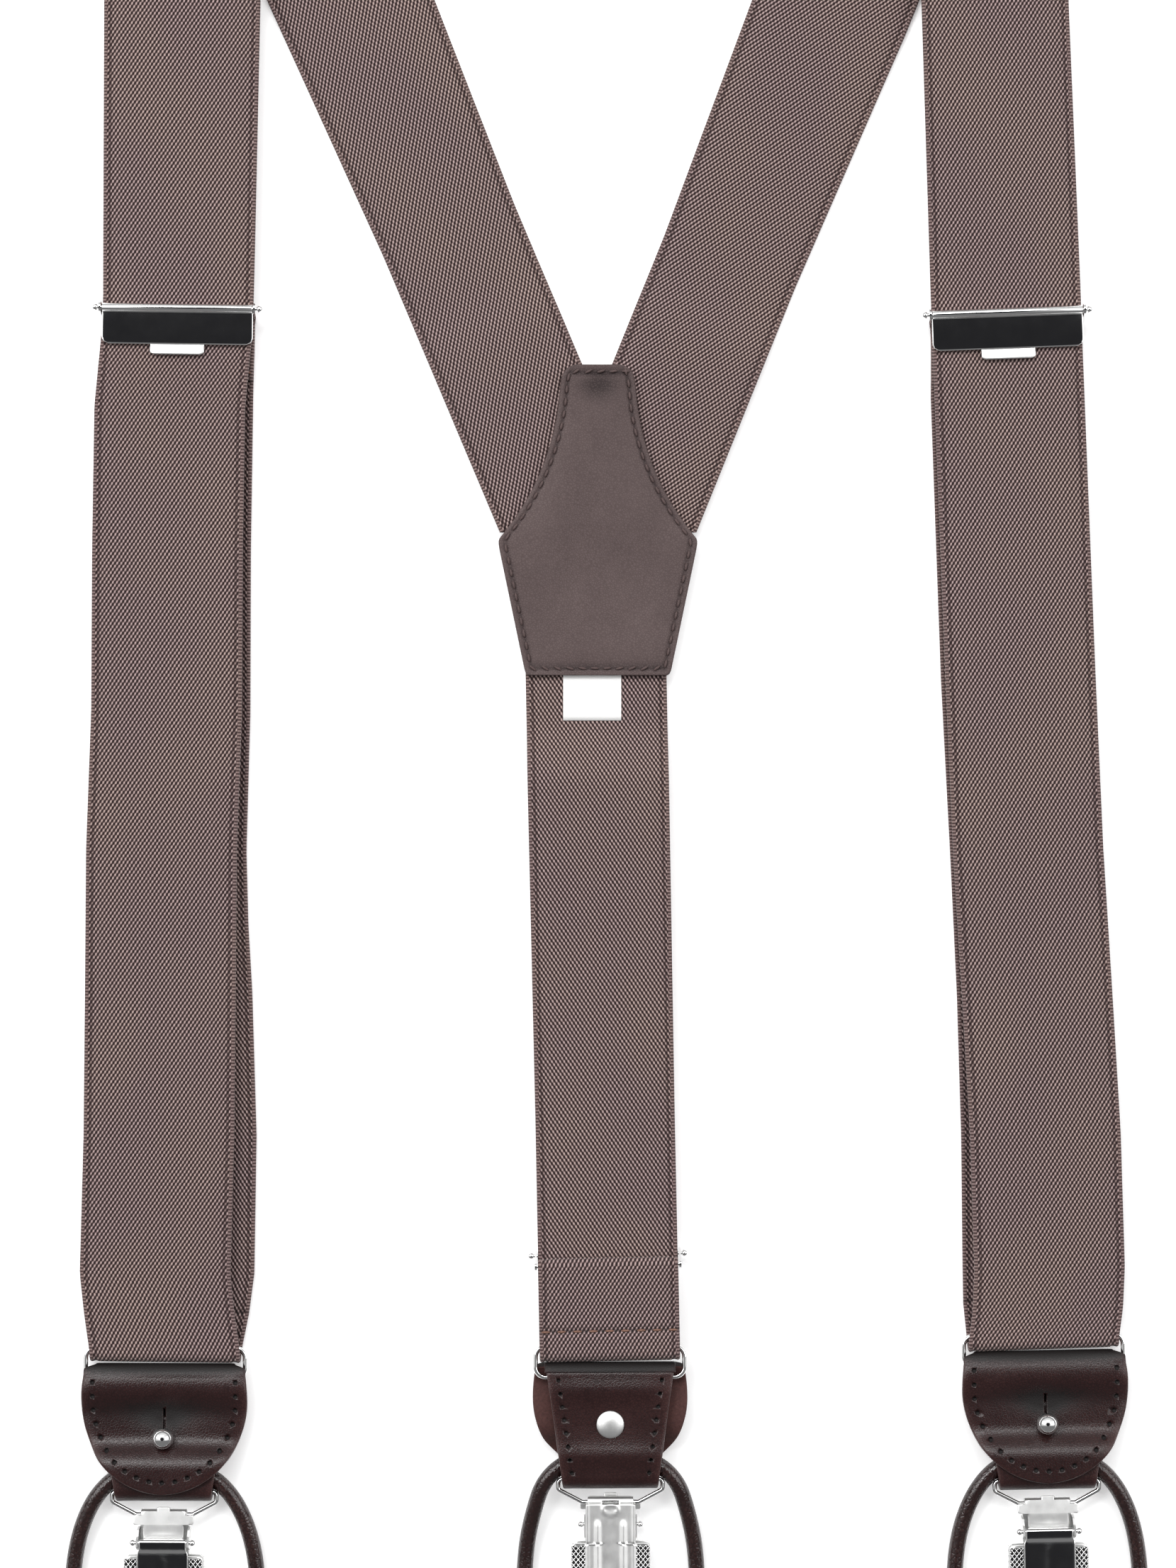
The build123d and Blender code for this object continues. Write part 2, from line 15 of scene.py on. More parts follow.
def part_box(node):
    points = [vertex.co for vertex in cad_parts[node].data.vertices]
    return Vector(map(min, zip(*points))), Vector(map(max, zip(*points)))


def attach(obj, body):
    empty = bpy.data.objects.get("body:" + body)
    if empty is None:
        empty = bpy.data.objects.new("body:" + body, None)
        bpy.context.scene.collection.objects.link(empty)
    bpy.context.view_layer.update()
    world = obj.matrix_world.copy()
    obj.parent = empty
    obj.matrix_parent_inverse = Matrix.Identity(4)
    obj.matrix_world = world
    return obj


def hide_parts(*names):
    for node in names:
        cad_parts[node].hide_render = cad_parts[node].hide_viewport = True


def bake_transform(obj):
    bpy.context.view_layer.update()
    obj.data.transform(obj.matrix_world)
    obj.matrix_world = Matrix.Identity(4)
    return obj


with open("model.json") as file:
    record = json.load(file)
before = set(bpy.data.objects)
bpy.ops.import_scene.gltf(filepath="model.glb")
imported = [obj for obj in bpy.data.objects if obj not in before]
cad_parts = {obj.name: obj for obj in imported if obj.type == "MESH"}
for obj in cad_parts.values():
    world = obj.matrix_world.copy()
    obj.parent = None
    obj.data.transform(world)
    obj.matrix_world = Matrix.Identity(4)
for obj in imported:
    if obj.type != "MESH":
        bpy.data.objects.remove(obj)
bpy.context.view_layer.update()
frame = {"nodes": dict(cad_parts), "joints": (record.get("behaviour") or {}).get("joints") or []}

MM = 0.001
TURN = 2 * math.pi
JOINTS = {joint["name"]: joint for joint in frame["joints"]}
ENDS = ("front_left", "front_right", "back")

# ---------------------------------------------------------------- sizes, in millimetres
WEB_T = 1.2
FRONT_W = 37.0
BACK_W = 34.5
SHOULDER_W = 38.5
DIAGONAL_W = 34.8
RETURN_Z = 1.0
MAIN_Z = 5.0
BAR_Z = 2.25
TAIL_Z = 2.35
RING_Z = 3.0
LEATHER_T = 1.5
POCKET_Z = 4.35
WEAVE_ACROSS = 1.02
WEAVE_ALONG = 1.56
VIEW_CENTRE = (-4.8, -21.3)
VIEW_HEIGHT = 387.0
VIEW_DISTANCE = 850.0
SENSOR = 36.0
FLOOR_HALF = 3000.0
FLOOR_Z = -0.2


# ---------------------------------------------------------------- frames of the ends and straps

def ring_hinges(name):
    """Where the webbing and the leather hang on an end's ring."""
    return [Vector(JOINTS[f"{name}_{side}_hinge"]["pos_m"]) for side in ("ring", "leather")]


def end_frame(name):
    """Local frame of an end's leather and metal: zero below the ring, +Y up the strap, +Z outer."""
    upper, lower = ring_hinges(name)
    across = Vector(JOINTS[f"{name}_ring_hinge"]["axis"]).normalized()
    return local_frame((upper + lower) / 2, across, (upper - lower).normalized(), RING_Z)


def strap_frame(name):
    """Local frame of an end's webbing: zero below the ring, +Y up the strap, +Z outer."""
    upper, lower = ring_hinges(name)
    across = -Vector(JOINTS[f"{name}_adjuster_lever_hinge"]["axis"]).normalized()
    along = -Vector(JOINTS[f"{name}_length"]["axis"]).normalized()
    return local_frame((upper + lower) / 2, across, along, RING_Z)


def local_frame(point, across, along, height):
    """Matrix from local millimetres to the model's metres."""
    up = across.cross(along).normalized()
    zero = point - up * height * MM
    matrix = Matrix((across, along, up)).transposed().to_4x4()
    return Matrix.Translation(zero) @ matrix @ Matrix.Scale(MM, 4)


END = {name: end_frame(name) for name in ENDS}
STRAP = {name: strap_frame(name) for name in ENDS}


def local_y(name, joint):
    """Where a joint stands along an end, in its local millimetres."""
    return (END[name].inverted() @ Vector(JOINTS[f"{name}_{joint}"]["pos_m"])).y


REACH = {
    name: (STRAP[name].inverted()
           @ Vector(JOINTS[f"{name}_adjuster_lever_hinge"]["pos_m"])).y
    for name in ENDS
}
BAIL_Y = {name: local_y(name, "bail_hinge") for name in ENDS}
CORD_Y = {name: local_y(name, "cord_hinge") for name in ENDS}
CLIP_Y = {name: local_y(name, "clip_hinge") for name in ENDS}
FOOT_Y = {name: BAIL_Y[name] - 2.2 for name in ENDS}


def stud_y(name):
    """The stud's place along its end, from the middle of its node."""
    low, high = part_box(f"{name}_stud")
    return (END[name].inverted() @ ((low + high) / 2)).y


STUD_Y = {name: stud_y(name) for name in ENDS}
SIZE = {"front_left": 1.0, "front_right": 1.0, "back": 0.93}


# ---------------------------------------------------------------- shader and node helpers

class Value:
    """A socket in a node tree. An operator on it adds the Math node."""

    def __init__(self, maker, socket):
        self.maker = maker
        self.socket = socket

    def math(self, operation, *others):
        return self.maker.add("ShaderNodeMath", {"operation": operation}, [self, *others])

    def __add__(self, other):
        return self.math("ADD", other)

    def __sub__(self, other):
        return self.math("SUBTRACT", other)

    def __mul__(self, other):
        return self.math("MULTIPLY", other)

    def __truediv__(self, other):
        return self.math("DIVIDE", other)

    def __rsub__(self, other):
        return self.maker.add("ShaderNodeMath", {"operation": "SUBTRACT"}, [other, self])

    __radd__ = __add__
    __rmul__ = __mul__

    def clamp(self):
        """The value kept between 0 and 1."""
        return self.maker.add("ShaderNodeClamp", {}, [self])

    def rise(self, low, high):
        """A smooth step from 0 at low to 1 at high."""
        return self.maker.add(
            "ShaderNodeMapRange", {"interpolation_type": "SMOOTHSTEP"},
            {"Value": self, "From Min": low, "From Max": high})


class Maker:
    """Builds one node tree of a material."""

    def __init__(self, tree):
        self.tree = tree

    def add(self, kind, settings=None, inputs=None, out=0):
        """A node of a kind, with its settings, then its sockets' values or links."""
        node = self.tree.nodes.new(kind)
        for key, value in (settings or {}).items():
            if key == "stops":
                self.set_ramp(node, value)
            else:
                setattr(node, key, value)
        pairs = enumerate(inputs) if isinstance(inputs, (list, tuple)) else (inputs or {}).items()
        for key, value in pairs:
            if isinstance(value, Value):
                self.tree.links.new(value.socket, node.inputs[key])
            else:
                node.inputs[key].default_value = value
        return Value(self, node.outputs[out])

    @staticmethod
    def set_ramp(node, stops):
        """Gives a colour ramp its stops."""
        ramp = node.color_ramp
        while len(ramp.elements) < len(stops):
            ramp.elements.new(0.5)
        for element, (place, colour) in zip(ramp.elements, stops):
            element.position = place
            element.color = colour

    def ramp(self, level, *stops):
        """A colour from (place, colour) stops."""
        return self.add("ShaderNodeValToRGB", {"stops": stops}, [level])

    def mix(self, factor, a, b):
        """A colour between a and b."""
        return self.add("ShaderNodeMix", {"data_type": "RGBA"}, {0: factor, 6: a, 7: b}, out=2)

    def noise(self, vector, scale, detail=3.0, roughness=0.55):
        """Noise with a scale in cells a metre."""
        return self.add("ShaderNodeTexNoise", {}, {
            "Vector": vector, "Scale": scale, "Detail": detail, "Roughness": roughness})

    def stretch(self, vector, scale):
        """Coordinates scaled by their own factor on each axis."""
        return self.add("ShaderNodeMapping", {}, {"Vector": vector, "Scale": scale})

    def place(self):
        """The piece's own coordinates, in metres."""
        return self.add("ShaderNodeTexCoord", out=3)

    def weave(self):
        """The band's UV map, with its place across and its place along the band."""
        uv = self.add("ShaderNodeUVMap", {"uv_map": "weave"})
        across = self.add("ShaderNodeSeparateXYZ", {}, [uv])
        return uv, across, Value(self, across.socket.node.outputs[1])

    def attribute(self, name):
        """A value that the mesh keeps at its vertices."""
        return self.add("ShaderNodeAttribute", {"attribute_name": name}, out=2)

    def bump(self, height, strength, distance):
        """A normal tilted by a height, with its depth in metres."""
        return self.add("ShaderNodeBump", {}, {
            "Height": height, "Strength": strength, "Distance": distance})


def srgb(red, green, blue):
    """A colour given as it looks on a screen, 0 to 255, for a shader."""
    def linear(value):
        value /= 255
        return value / 12.92 if value <= 0.04045 else ((value + 0.055) / 1.055) ** 2.4
    return (linear(red), linear(green), linear(blue), 1)


def material(name, build, **fixed):
    """A material whose varying sockets build() gives, with the fixed ones set on the shader."""
    made = bpy.data.materials.new(name)
    made.use_nodes = True
    tree = made.node_tree
    shader = tree.nodes["Principled BSDF"]
    for key, value in fixed.items():
        shader.inputs[key.replace("_", " ")].default_value = value
    for key, value in build(Maker(tree)).items():
        if isinstance(value, Value):
            tree.links.new(value.socket, shader.inputs[key])
        else:
            shader.inputs[key].default_value = value
    return made


# ---------------------------------------------------------------- materials

def webbing_look(maker):
    """Twill-woven elastic: light floats in a staggered grid, darker gaps, corded selvedges."""
    uv, across, along = maker.weave()
    wander = maker.noise(uv, 260.0, 2.0) - 0.5
    u = across / (WEAVE_ACROSS * MM) + wander * 0.16
    v = along / (WEAVE_ALONG * MM) + wander * 0.1
    rising = ((u + v) * TURN).math("COSINE")
    falling = ((u - v) * TURN).math("COSINE")
    floats = rising * 0.5 + falling * 0.28 + 0.47
    edge = maker.attribute("edge") / MM
    cord_rib = ((along / (0.78 * MM)) * TURN).math("SINE") * 0.24 + 0.52
    in_cord = 1.0 - edge.rise(0.7, 1.1)
    groove = edge.rise(1.15, 1.55) * (1.0 - edge.rise(1.75, 2.15))
    weave = floats * (1.0 - in_cord) + cord_rib * in_cord
    # painted shade: the colour is darkened in the groove beside each selvedge
    weave = weave * (1.0 - groove * 0.35)
    patchy = maker.noise(maker.stretch(uv, (1.0, 0.6, 1.0)), 42.0, 4.0)
    fine = maker.noise(uv, 2300.0, 2.0)
    level = (weave + (fine - 0.5) * 0.16 + (patchy - 0.5) * 0.05).clamp()
    colour = maker.ramp(level, (0.0, srgb(32, 19, 20)), (0.3, srgb(58, 42, 42)),
                        (0.62, srgb(112, 94, 92)), (1.0, srgb(178, 158, 155)))
    tint = maker.mix(patchy.rise(0.35, 0.7), srgb(250, 246, 248), srgb(255, 252, 246))
    tone = maker.add("ShaderNodeMix", {"data_type": "RGBA", "blend_type": "MULTIPLY"},
                     {0: 1.0, 6: colour, 7: tint}, out=2)
    height = floats * (1.0 - in_cord) + (cord_rib * 0.6 + 0.3) * in_cord - groove * 0.6
    return {
        "Base Color": tone,
        "Roughness": level * -0.15 + 0.86,
        "Normal": maker.bump(height, 0.75, 0.00022),
    }


def grain(maker, coordinates, scale):
    """Leather grain: small cells over a finer tooth."""
    cells = maker.add("ShaderNodeTexVoronoi", {"feature": "DISTANCE_TO_EDGE"}, {
        "Vector": coordinates, "Scale": scale})
    fine = maker.noise(coordinates, scale * 2.4, 4.0)
    return cells.rise(0.0, 0.22) * 0.6 + fine * 0.4


def leather_look(dark, mid, light, scale, bump, dullness=0.3):
    """Leather in three tones, with painted shade in its creases, rubbed lighter along its edges."""
    def build(maker):
        at = maker.place()
        broad = maker.noise(at, 60.0, 4.0)
        texture = grain(maker, at, scale)
        # painted shade: this mask darkens the colour where shade falls in creases, folds and hollows
        crease = maker.attribute("crease")
        rub = maker.attribute("rub")
        level = (broad * 0.5 + texture * 0.35 + rub * 0.35 - crease * 0.8).clamp()
        colour = maker.ramp(level, (0.0, dark), (0.45, mid), (1.0, light))
        suede = maker.attribute("suede")
        tooth = maker.noise(at, 1500.0, 3.0, 0.7)
        nap = maker.mix(tooth, srgb(36, 16, 15), srgb(92, 58, 54))
        return {
            "Base Color": maker.mix(suede, colour, nap),
            "Roughness": suede * 0.5 + texture * -0.06 + broad * 0.1 + crease * 0.45 + dullness,
            "Normal": maker.bump(texture * (1.0 - suede) + tooth * suede, bump, 0.00012),
        }
    return build


def patch_look(maker):
    """Fine matt patch leather, lightly mottled, with painted shade in the dip between the straps and
    along the sunk stitching.
    """
    at = maker.place()
    broad = maker.noise(at, 55.0, 4.0)
    texture = grain(maker, at, 1700.0)
    # painted shade: the crease mask darkens the patch in the dip between the straps and along the
    # sunk seam
    crease = maker.attribute("crease")
    level = (broad * 0.5 + texture * 0.3 + 0.1 - crease * 0.45).clamp()
    return {
        "Base Color": maker.ramp(level, (0.0, srgb(40, 28, 28)), (0.5, srgb(80, 66, 65)),
                                 (1.0, srgb(108, 94, 92))),
        "Roughness": texture * -0.1 + 0.72,
        "Normal": maker.bump(texture, 0.45, 0.00012),
    }


def chrome_look(maker):
    """Bright plating with faint handling marks."""
    at = maker.place()
    smudge = maker.noise(at, 220.0, 4.0)
    scratch = maker.noise(maker.stretch(at, (1.0, 9.0, 1.0)), 900.0, 2.0)
    return {
        "Base Color": maker.mix(smudge, srgb(226, 226, 226), srgb(245, 245, 244)),
        "Roughness": smudge * 0.06 + scratch * 0.03 + 0.02,
        "Normal": maker.bump(scratch, 0.05, 0.00004),
    }


def satin_look(maker):
    """Pressed and tumbled plating, softer than the polished parts."""
    at = maker.place()
    smudge = maker.noise(at, 260.0, 4.0)
    grain_lines = maker.noise(maker.stretch(at, (7.0, 1.0, 1.0)), 700.0, 3.0)
    return {
        "Base Color": maker.mix(smudge, srgb(228, 228, 227), srgb(252, 252, 251)),
        "Roughness": smudge * 0.14 + grain_lines * 0.08 + 0.33,
        "Normal": maker.bump(grain_lines, 0.06, 0.00005),
    }


def speckled_look(low, high, scale, detail, dullness, bump):
    """Two tones mixed by a fine noise that also lifts the surface: the painted shade of pits and
    holes, plastic and thread.
    """
    def build(maker):
        tooth = maker.noise(maker.place(), scale, detail)
        return {
            "Base Color": maker.mix(tooth, low, high),
            "Roughness": tooth * 0.2 + dullness,
            "Normal": maker.bump(tooth, bump, 0.0001),
        }
    return build


def thread_look(low, high):
    """Twisted sewing thread, also the fuzzy wall of a punched hole, where its dark tones are painted
    shade.
    """
    return speckled_look(low, high, 2600.0, 2.0, 0.6, 0.5)


def tape_look(maker):
    """White woven label tape, plain."""
    _, across, along = maker.weave()
    thread_turn = TURN / (0.3 * MM)
    weft = (across * thread_turn).math("SINE") * (along * thread_turn).math("SINE") * 0.5 + 0.5
    return {
        "Base Color": maker.mix(weft, srgb(226, 225, 224), srgb(250, 250, 249)),
        "Roughness": weft * 0.1 + 0.75,
        "Normal": maker.bump(weft, 0.3, 0.00008),
    }


WEBBING = material("elastic_webbing", webbing_look, Sheen_Weight=0.12, Specular_IOR_Level=0.3)
LEATHER = material(
    "dark_brown_leather",
    leather_look(srgb(9, 3, 3), srgb(37, 17, 17), srgb(70, 44, 42), 1500.0, 0.3),
    Specular_IOR_Level=0.42)
CORD = material(
    "rolled_leather",
    leather_look(srgb(12, 5, 5), srgb(38, 22, 21), srgb(76, 52, 48), 900.0, 0.5, 0.14),
    Specular_IOR_Level=0.6)
PATCH = material("yoke_leather", patch_look, Specular_IOR_Level=0.35)
CHROME = material("polished_plating", chrome_look, Metallic=1.0)
SATIN = material("satin_plating", satin_look, Metallic=1.0)
# painted shade: a dark plating laid under the bright mesh ridges and on the slot's walls, standing
# for the shade in the pits
PIT_SHADE = material(
    "pit_shade_plating",
    speckled_look(srgb(20, 20, 21), srgb(52, 52, 53), 1200.0, 3.0, 0.35, 0.2), Metallic=0.8)
PLASTIC = material(
    "grip_plastic", speckled_look(srgb(22, 22, 23), srgb(44, 44, 46), 900.0, 3.0, 0.5, 0.2))
TAPE = material("label_tape", tape_look)
DARK_THREAD = material("dark_thread", thread_look(srgb(44, 32, 31), srgb(100, 80, 78)))
SEAM_THREAD = material("seam_thread", thread_look(srgb(92, 62, 50), srgb(140, 104, 88)))
# painted shade: near-black walls for punched holes, the keyhole and its slit
HOLE_SHADE = material("punched_hole_shade", thread_look(srgb(10, 7, 7), srgb(26, 18, 18)))
FINISH = {
    "ring": CHROME, "bail": CHROME, "clip_pin": CHROME, "adjuster_frame": CHROME,
    "adjuster_pin": CHROME, "grip_pad_back": PLASTIC, "grip_pad_front": PLASTIC,
}
for end_name in ENDS:
    for part_name, finish in FINISH.items():
        node = frame["nodes"][f"{end_name}_{part_name}"]
        node.data.materials.clear()
        node.data.materials.append(finish)


# ---------------------------------------------------------------- camera, floor and light

def added(name, data):
    """A new object in the scene with the given mesh, curve, light or camera."""
    thing = bpy.data.objects.new(name, data)
    bpy.context.scene.collection.objects.link(thing)
    return thing


def aim(thing, target):
    """Turns a light towards a point."""
    thing.rotation_euler = (Vector(target) - thing.location).to_track_quat("-Z", "Y").to_euler()


camera = added("camera", bpy.data.cameras.new("camera"))
camera.location = (VIEW_CENTRE[0] * MM, VIEW_CENTRE[1] * MM, VIEW_DISTANCE * MM)
camera.data.sensor_width = SENSOR
camera.data.lens = SENSOR * VIEW_DISTANCE / VIEW_HEIGHT
bpy.context.scene.camera = camera
bpy.context.scene.view_settings.view_transform = "Standard"


def floor_look(maker):
    """Bright, nearly white board."""
    tone = maker.noise(maker.place(), 6.0, 2.0)
    return {
        "Base Color": maker.mix(tone, srgb(250, 250, 250), srgb(255, 255, 255)),
        "Roughness": tone * 0.1 + 0.8,
        "Emission Color": maker.mix(tone, srgb(248, 248, 249), srgb(255, 255, 255)),
    }


floor_mesh = bpy.data.meshes.new("floor")
floor_mesh.from_pydata(
    [(x * FLOOR_HALF * MM, y * FLOOR_HALF * MM, FLOOR_Z * MM)
     for x, y in ((-1, -1), (1, -1), (1, 1), (-1, 1))], [], [(0, 1, 2, 3)])
floor_mesh.materials.append(material("pale_floor", floor_look, Emission_Strength=0.3))
floor = added("floor", floor_mesh)


def area_light(name, location, size, power):
    """A rectangular softbox aimed at the middle of the object."""
    light = bpy.data.lights.new(name, "AREA")
    light.shape = "RECTANGLE"
    light.size, light.size_y = size
    light.energy = power
    thing = added(name, light)
    thing.location = location
    aim(thing, (0, 0, 0))


area_light("softbox_left", (-1.5, 0.5, 1.5), size=(1.2, 1.6), power=18)
area_light("softbox_right", (1.6, 0.2, 1.4), size=(1.2, 1.6), power=12)
area_light("softbox_top", (0.0, 1.15, 1.9), size=(1.6, 0.6), power=18)
area_light("softbox_over", (-0.75, 0.95, 1.8), size=(0.5, 0.5), power=8)

world = bpy.data.worlds.new("studio")
bpy.context.scene.world = world
world.use_nodes = True
studio = Maker(world.node_tree)
sky = studio.add("ShaderNodeTexCoord")
northwards = studio.add("ShaderNodeSeparateXYZ", {}, [sky], out=1)
height = studio.add("ShaderNodeSeparateXYZ", {}, [sky], out=2)
overhead = height.rise(0.905, 0.965)
southern = 1.0 - northwards.rise(-0.34, -0.08)
horizon = 1.0 - height.rise(0.12, 0.5)
dark = overhead.math("MAXIMUM", southern * 0.8).math("MAXIMUM", horizon * 0.75)
shade = studio.mix(dark, (1, 1, 1, 1), (0.022, 0.022, 0.024, 1))
background = world.node_tree.nodes["Background"]
world.node_tree.links.new(shade.socket, background.inputs["Color"])
background.inputs["Strength"].default_value = 0.92


# ---------------------------------------------------------------- bands, plates and stitches

def bell(value, centre, width):
    """1 at the centre, falling smoothly to 0 over about twice the width."""
    return math.exp(-((value - centre) / width) ** 2)


def share_of(value):
    """The value kept between 0 and 1."""
    return min(1.0, max(0.0, value))


def eased(value):
    """The value kept between 0 and 1, with a slow start and a slow end."""
    share = share_of(value)
    return share * share * (3 - 2 * share)


def row_at(y, z, half, face=(0, 1), x=0.0, s=0.0):
    """One row of a band: its place, half width, the way its face looks and its length along."""
    return {"y": y, "z": z, "face": Vector(face), "half": half, "x": x, "s": s}


def prism_faces(count, rings=2, first=0):
    """Faces that join rings of vertices, closed at both ends."""
    faces = []
    for ring in range(rings - 1):
        for k in range(count):
            a, b = first + ring * count + k, first + ring * count + (k + 1) % count
            faces.append((a, b, b + count, a + count))
    faces.append(tuple(first + k for k in reversed(range(count))))
    faces.append(tuple(first + (rings - 1) * count + k for k in range(count)))
    return faces


def rounded(points, radii, step=0.35):
    """A path of straight runs with its corners rounded, as points close together on the arcs."""
    path = [Vector(points[0])]
    for index in range(1, len(points) - 1):
        before, here, after = (Vector(points[index + k]) for k in (-1, 0, 1))
        into, out = (here - before).normalized(), (after - here).normalized()
        turn = into.angle(out)
        radius = radii[index - 1]
        if turn < 1e-4 or radius <= 0:
            path.append(here)
            continue
        back = radius * math.tan(turn / 2)
        side = (out - into * into.dot(out)).normalized()
        centre = here - into * back + side * radius
        count = max(3, round(radius * turn / step))
        for k in range(count + 1):
            angle = turn * k / count
            path.append(centre - side * radius * math.cos(angle) + into * radius * math.sin(angle))
    path.append(Vector(points[-1]))
    return path


def spread(path, step):
    """The path with its long runs divided."""
    result = [path[0]]
    for before, after in zip(path, path[1:]):
        count = max(1, math.ceil((after - before).length / step))
        result += [before.lerp(after, k / count) for k in range(1, count + 1)]
    return result


def rows_along(path, half_width, side=lambda s, y: 0.0, step=2.0, start=0.0):
    """Rows of a band: its place, the way its face looks, half width and length along it."""
    points = spread(path, step)
    rows = []
    length = start
    for index, point in enumerate(points):
        before = points[max(index - 1, 0)]
        after = points[min(index + 1, len(points) - 1)]
        along = (after - before).normalized()
        if index:
            length += (point - points[index - 1]).length
        rows.append(row_at(point.x, point.y, half_width(length, point.x),
                           (along.y, -along.x), side(length, point.x), length))
    return rows


def webbing_section(half):
    """Section of webbing: thick corded selvedges, a groove beside each and a flat middle."""
    upper = [(-1, 0.0, 0.0), (-1, 0.12, 0.42), (-1, 0.5, 0.62), (-1, 0.95, 0.5), (-1, 1.35, 0.4),
             (-1, 1.75, 0.42), (-1, 2.3, 0.6)]
    middle = [(k / 4, 0.6) for k in range(-3, 4)]
    top = [(-(half - inset), level) for _, inset, level in upper]
    top += [(share * (half - 2.3), level) for share, level in middle]
    top += [(half - inset, level) for _, inset, level in reversed(upper)]
    return top + [(x, -level) for x, level in reversed(top[1:-1])]


def leather_section(half, thick=LEATHER_T, columns=12, edge_zone=0.7):
    """Section of cut leather, or of sheet metal, with slightly rounded edges."""
    zone = min(edge_zone, half * 0.6)
    level = thick / 2
    edge = [(0.0, 0.0), (0.04, 0.45), (0.16, 0.75), (0.45, 0.95), (1.0, 1.0)]
    top = [(-(half - inset * zone), share * level) for inset, share in edge]
    top += [(k * (half - zone), level) for k in np.linspace(-1, 1, columns)[1:-1]]
    top += [(half - inset * zone, share * level) for inset, share in reversed(edge)]
    return top + [(x, -z) for x, z in reversed(top[1:-1])]


def band(name, rows, section, matrix, look, relief=None, marks=None):
    """A closed band lofted through its rows, with its length and width kept as a UV map."""
    vertices, uvs, edges, extra = [], [], [], {key: [] for key in (marks or {})}
    for row in rows:
        loop = section(row["half"])
        for x, level in loop:
            lift = relief(row, x, level) if relief else 0.0
            y = row["y"] + row["face"].x * (level + lift)
            z = row["z"] + row["face"].y * (level + lift)
            vertices.append(matrix @ Vector((x + row["x"], y, z)))
            uvs.append((x * MM, row["s"] * MM))
            edges.append((row["half"] - abs(x)) * MM)
            for key, mark in (marks or {}).items():
                extra[key].append(mark(row, x, level))
    faces = prism_faces(len(loop), len(rows))
    return meshed(name, vertices, faces, look, uvs, {"edge": edges, **extra})


def meshed(name, vertices, faces, look, uvs=None, marks=None):
    """An object from vertices and faces in metres, facing outwards and shaded smooth."""
    mesh = bpy.data.meshes.new(name)
    mesh.from_pydata([tuple(v) for v in vertices], [], faces)
    if uvs:
        layer = mesh.uv_layers.new(name="weave")
        corners = np.zeros(len(mesh.loops), np.int32)
        mesh.loops.foreach_get("vertex_index", corners)
        layer.data.foreach_set("uv", np.array(uvs, np.float32)[corners].ravel())
    for key, values in (marks or {}).items():
        mesh.attributes.new(key, "FLOAT", "POINT").data.foreach_set(
            "value", np.array(values, np.float32))
    tidy = bmesh.new()
    tidy.from_mesh(mesh)
    bmesh.ops.remove_doubles(tidy, verts=tidy.verts, dist=1e-6)
    bmesh.ops.dissolve_degenerate(tidy, edges=tidy.edges, dist=1e-7)
    bmesh.ops.recalc_face_normals(tidy, faces=tidy.faces)
    tidy.to_mesh(mesh)
    tidy.free()
    mesh.polygons.foreach_set("use_smooth", [True] * len(mesh.polygons))
    mesh.materials.append(look)
    return added(name, mesh)


def baked(thing):
    """The object with its modifiers made part of its mesh."""
    graph = bpy.context.evaluated_depsgraph_get()
    mesh = bpy.data.meshes.new_from_object(
        thing.evaluated_get(graph), preserve_all_data_layers=True, depsgraph=graph)
    thing.modifiers.clear()
    if thing.type == "MESH":
        thing.data = mesh
        return thing
    made = added(thing.name, mesh)
    bpy.data.objects.remove(thing)
    return made


def carved(thing, cutter):
    """The object with the cutter's shape taken out, its walls in the cutter's material."""
    cut = thing.modifiers.new("cut", "BOOLEAN")
    cut.object = cutter
    cut.solver = "EXACT"
    cut.material_mode = "TRANSFER"
    thing = baked(thing)
    bpy.data.objects.remove(cutter)
    return thing


def block(name, xs, ys, zs, matrix, look):
    """A box between two places on each local axis."""
    corners = [matrix @ Vector((x, y, z)) for x in xs for y in ys for z in zs]
    return meshed(name, corners, [(0, 1, 3, 2), (4, 6, 7, 5), (0, 4, 5, 1), (2, 3, 7, 6),
                                  (0, 2, 6, 4), (1, 5, 7, 3)], look)


def cylinders(name, places, radius, low, high, matrix, look, sides=12):
    """Upright cylinders at (x, y, base) places, as one mesh."""
    vertices, faces = [], []
    for x, y, base in places:
        faces += prism_faces(sides, first=len(vertices))
        for level in (low, high):
            for k in range(sides):
                angle = TURN * k / sides
                vertices.append(matrix @ Vector((
                    x + radius * math.cos(angle), y + radius * math.sin(angle), base + level)))
    return meshed(name, vertices, faces, look)


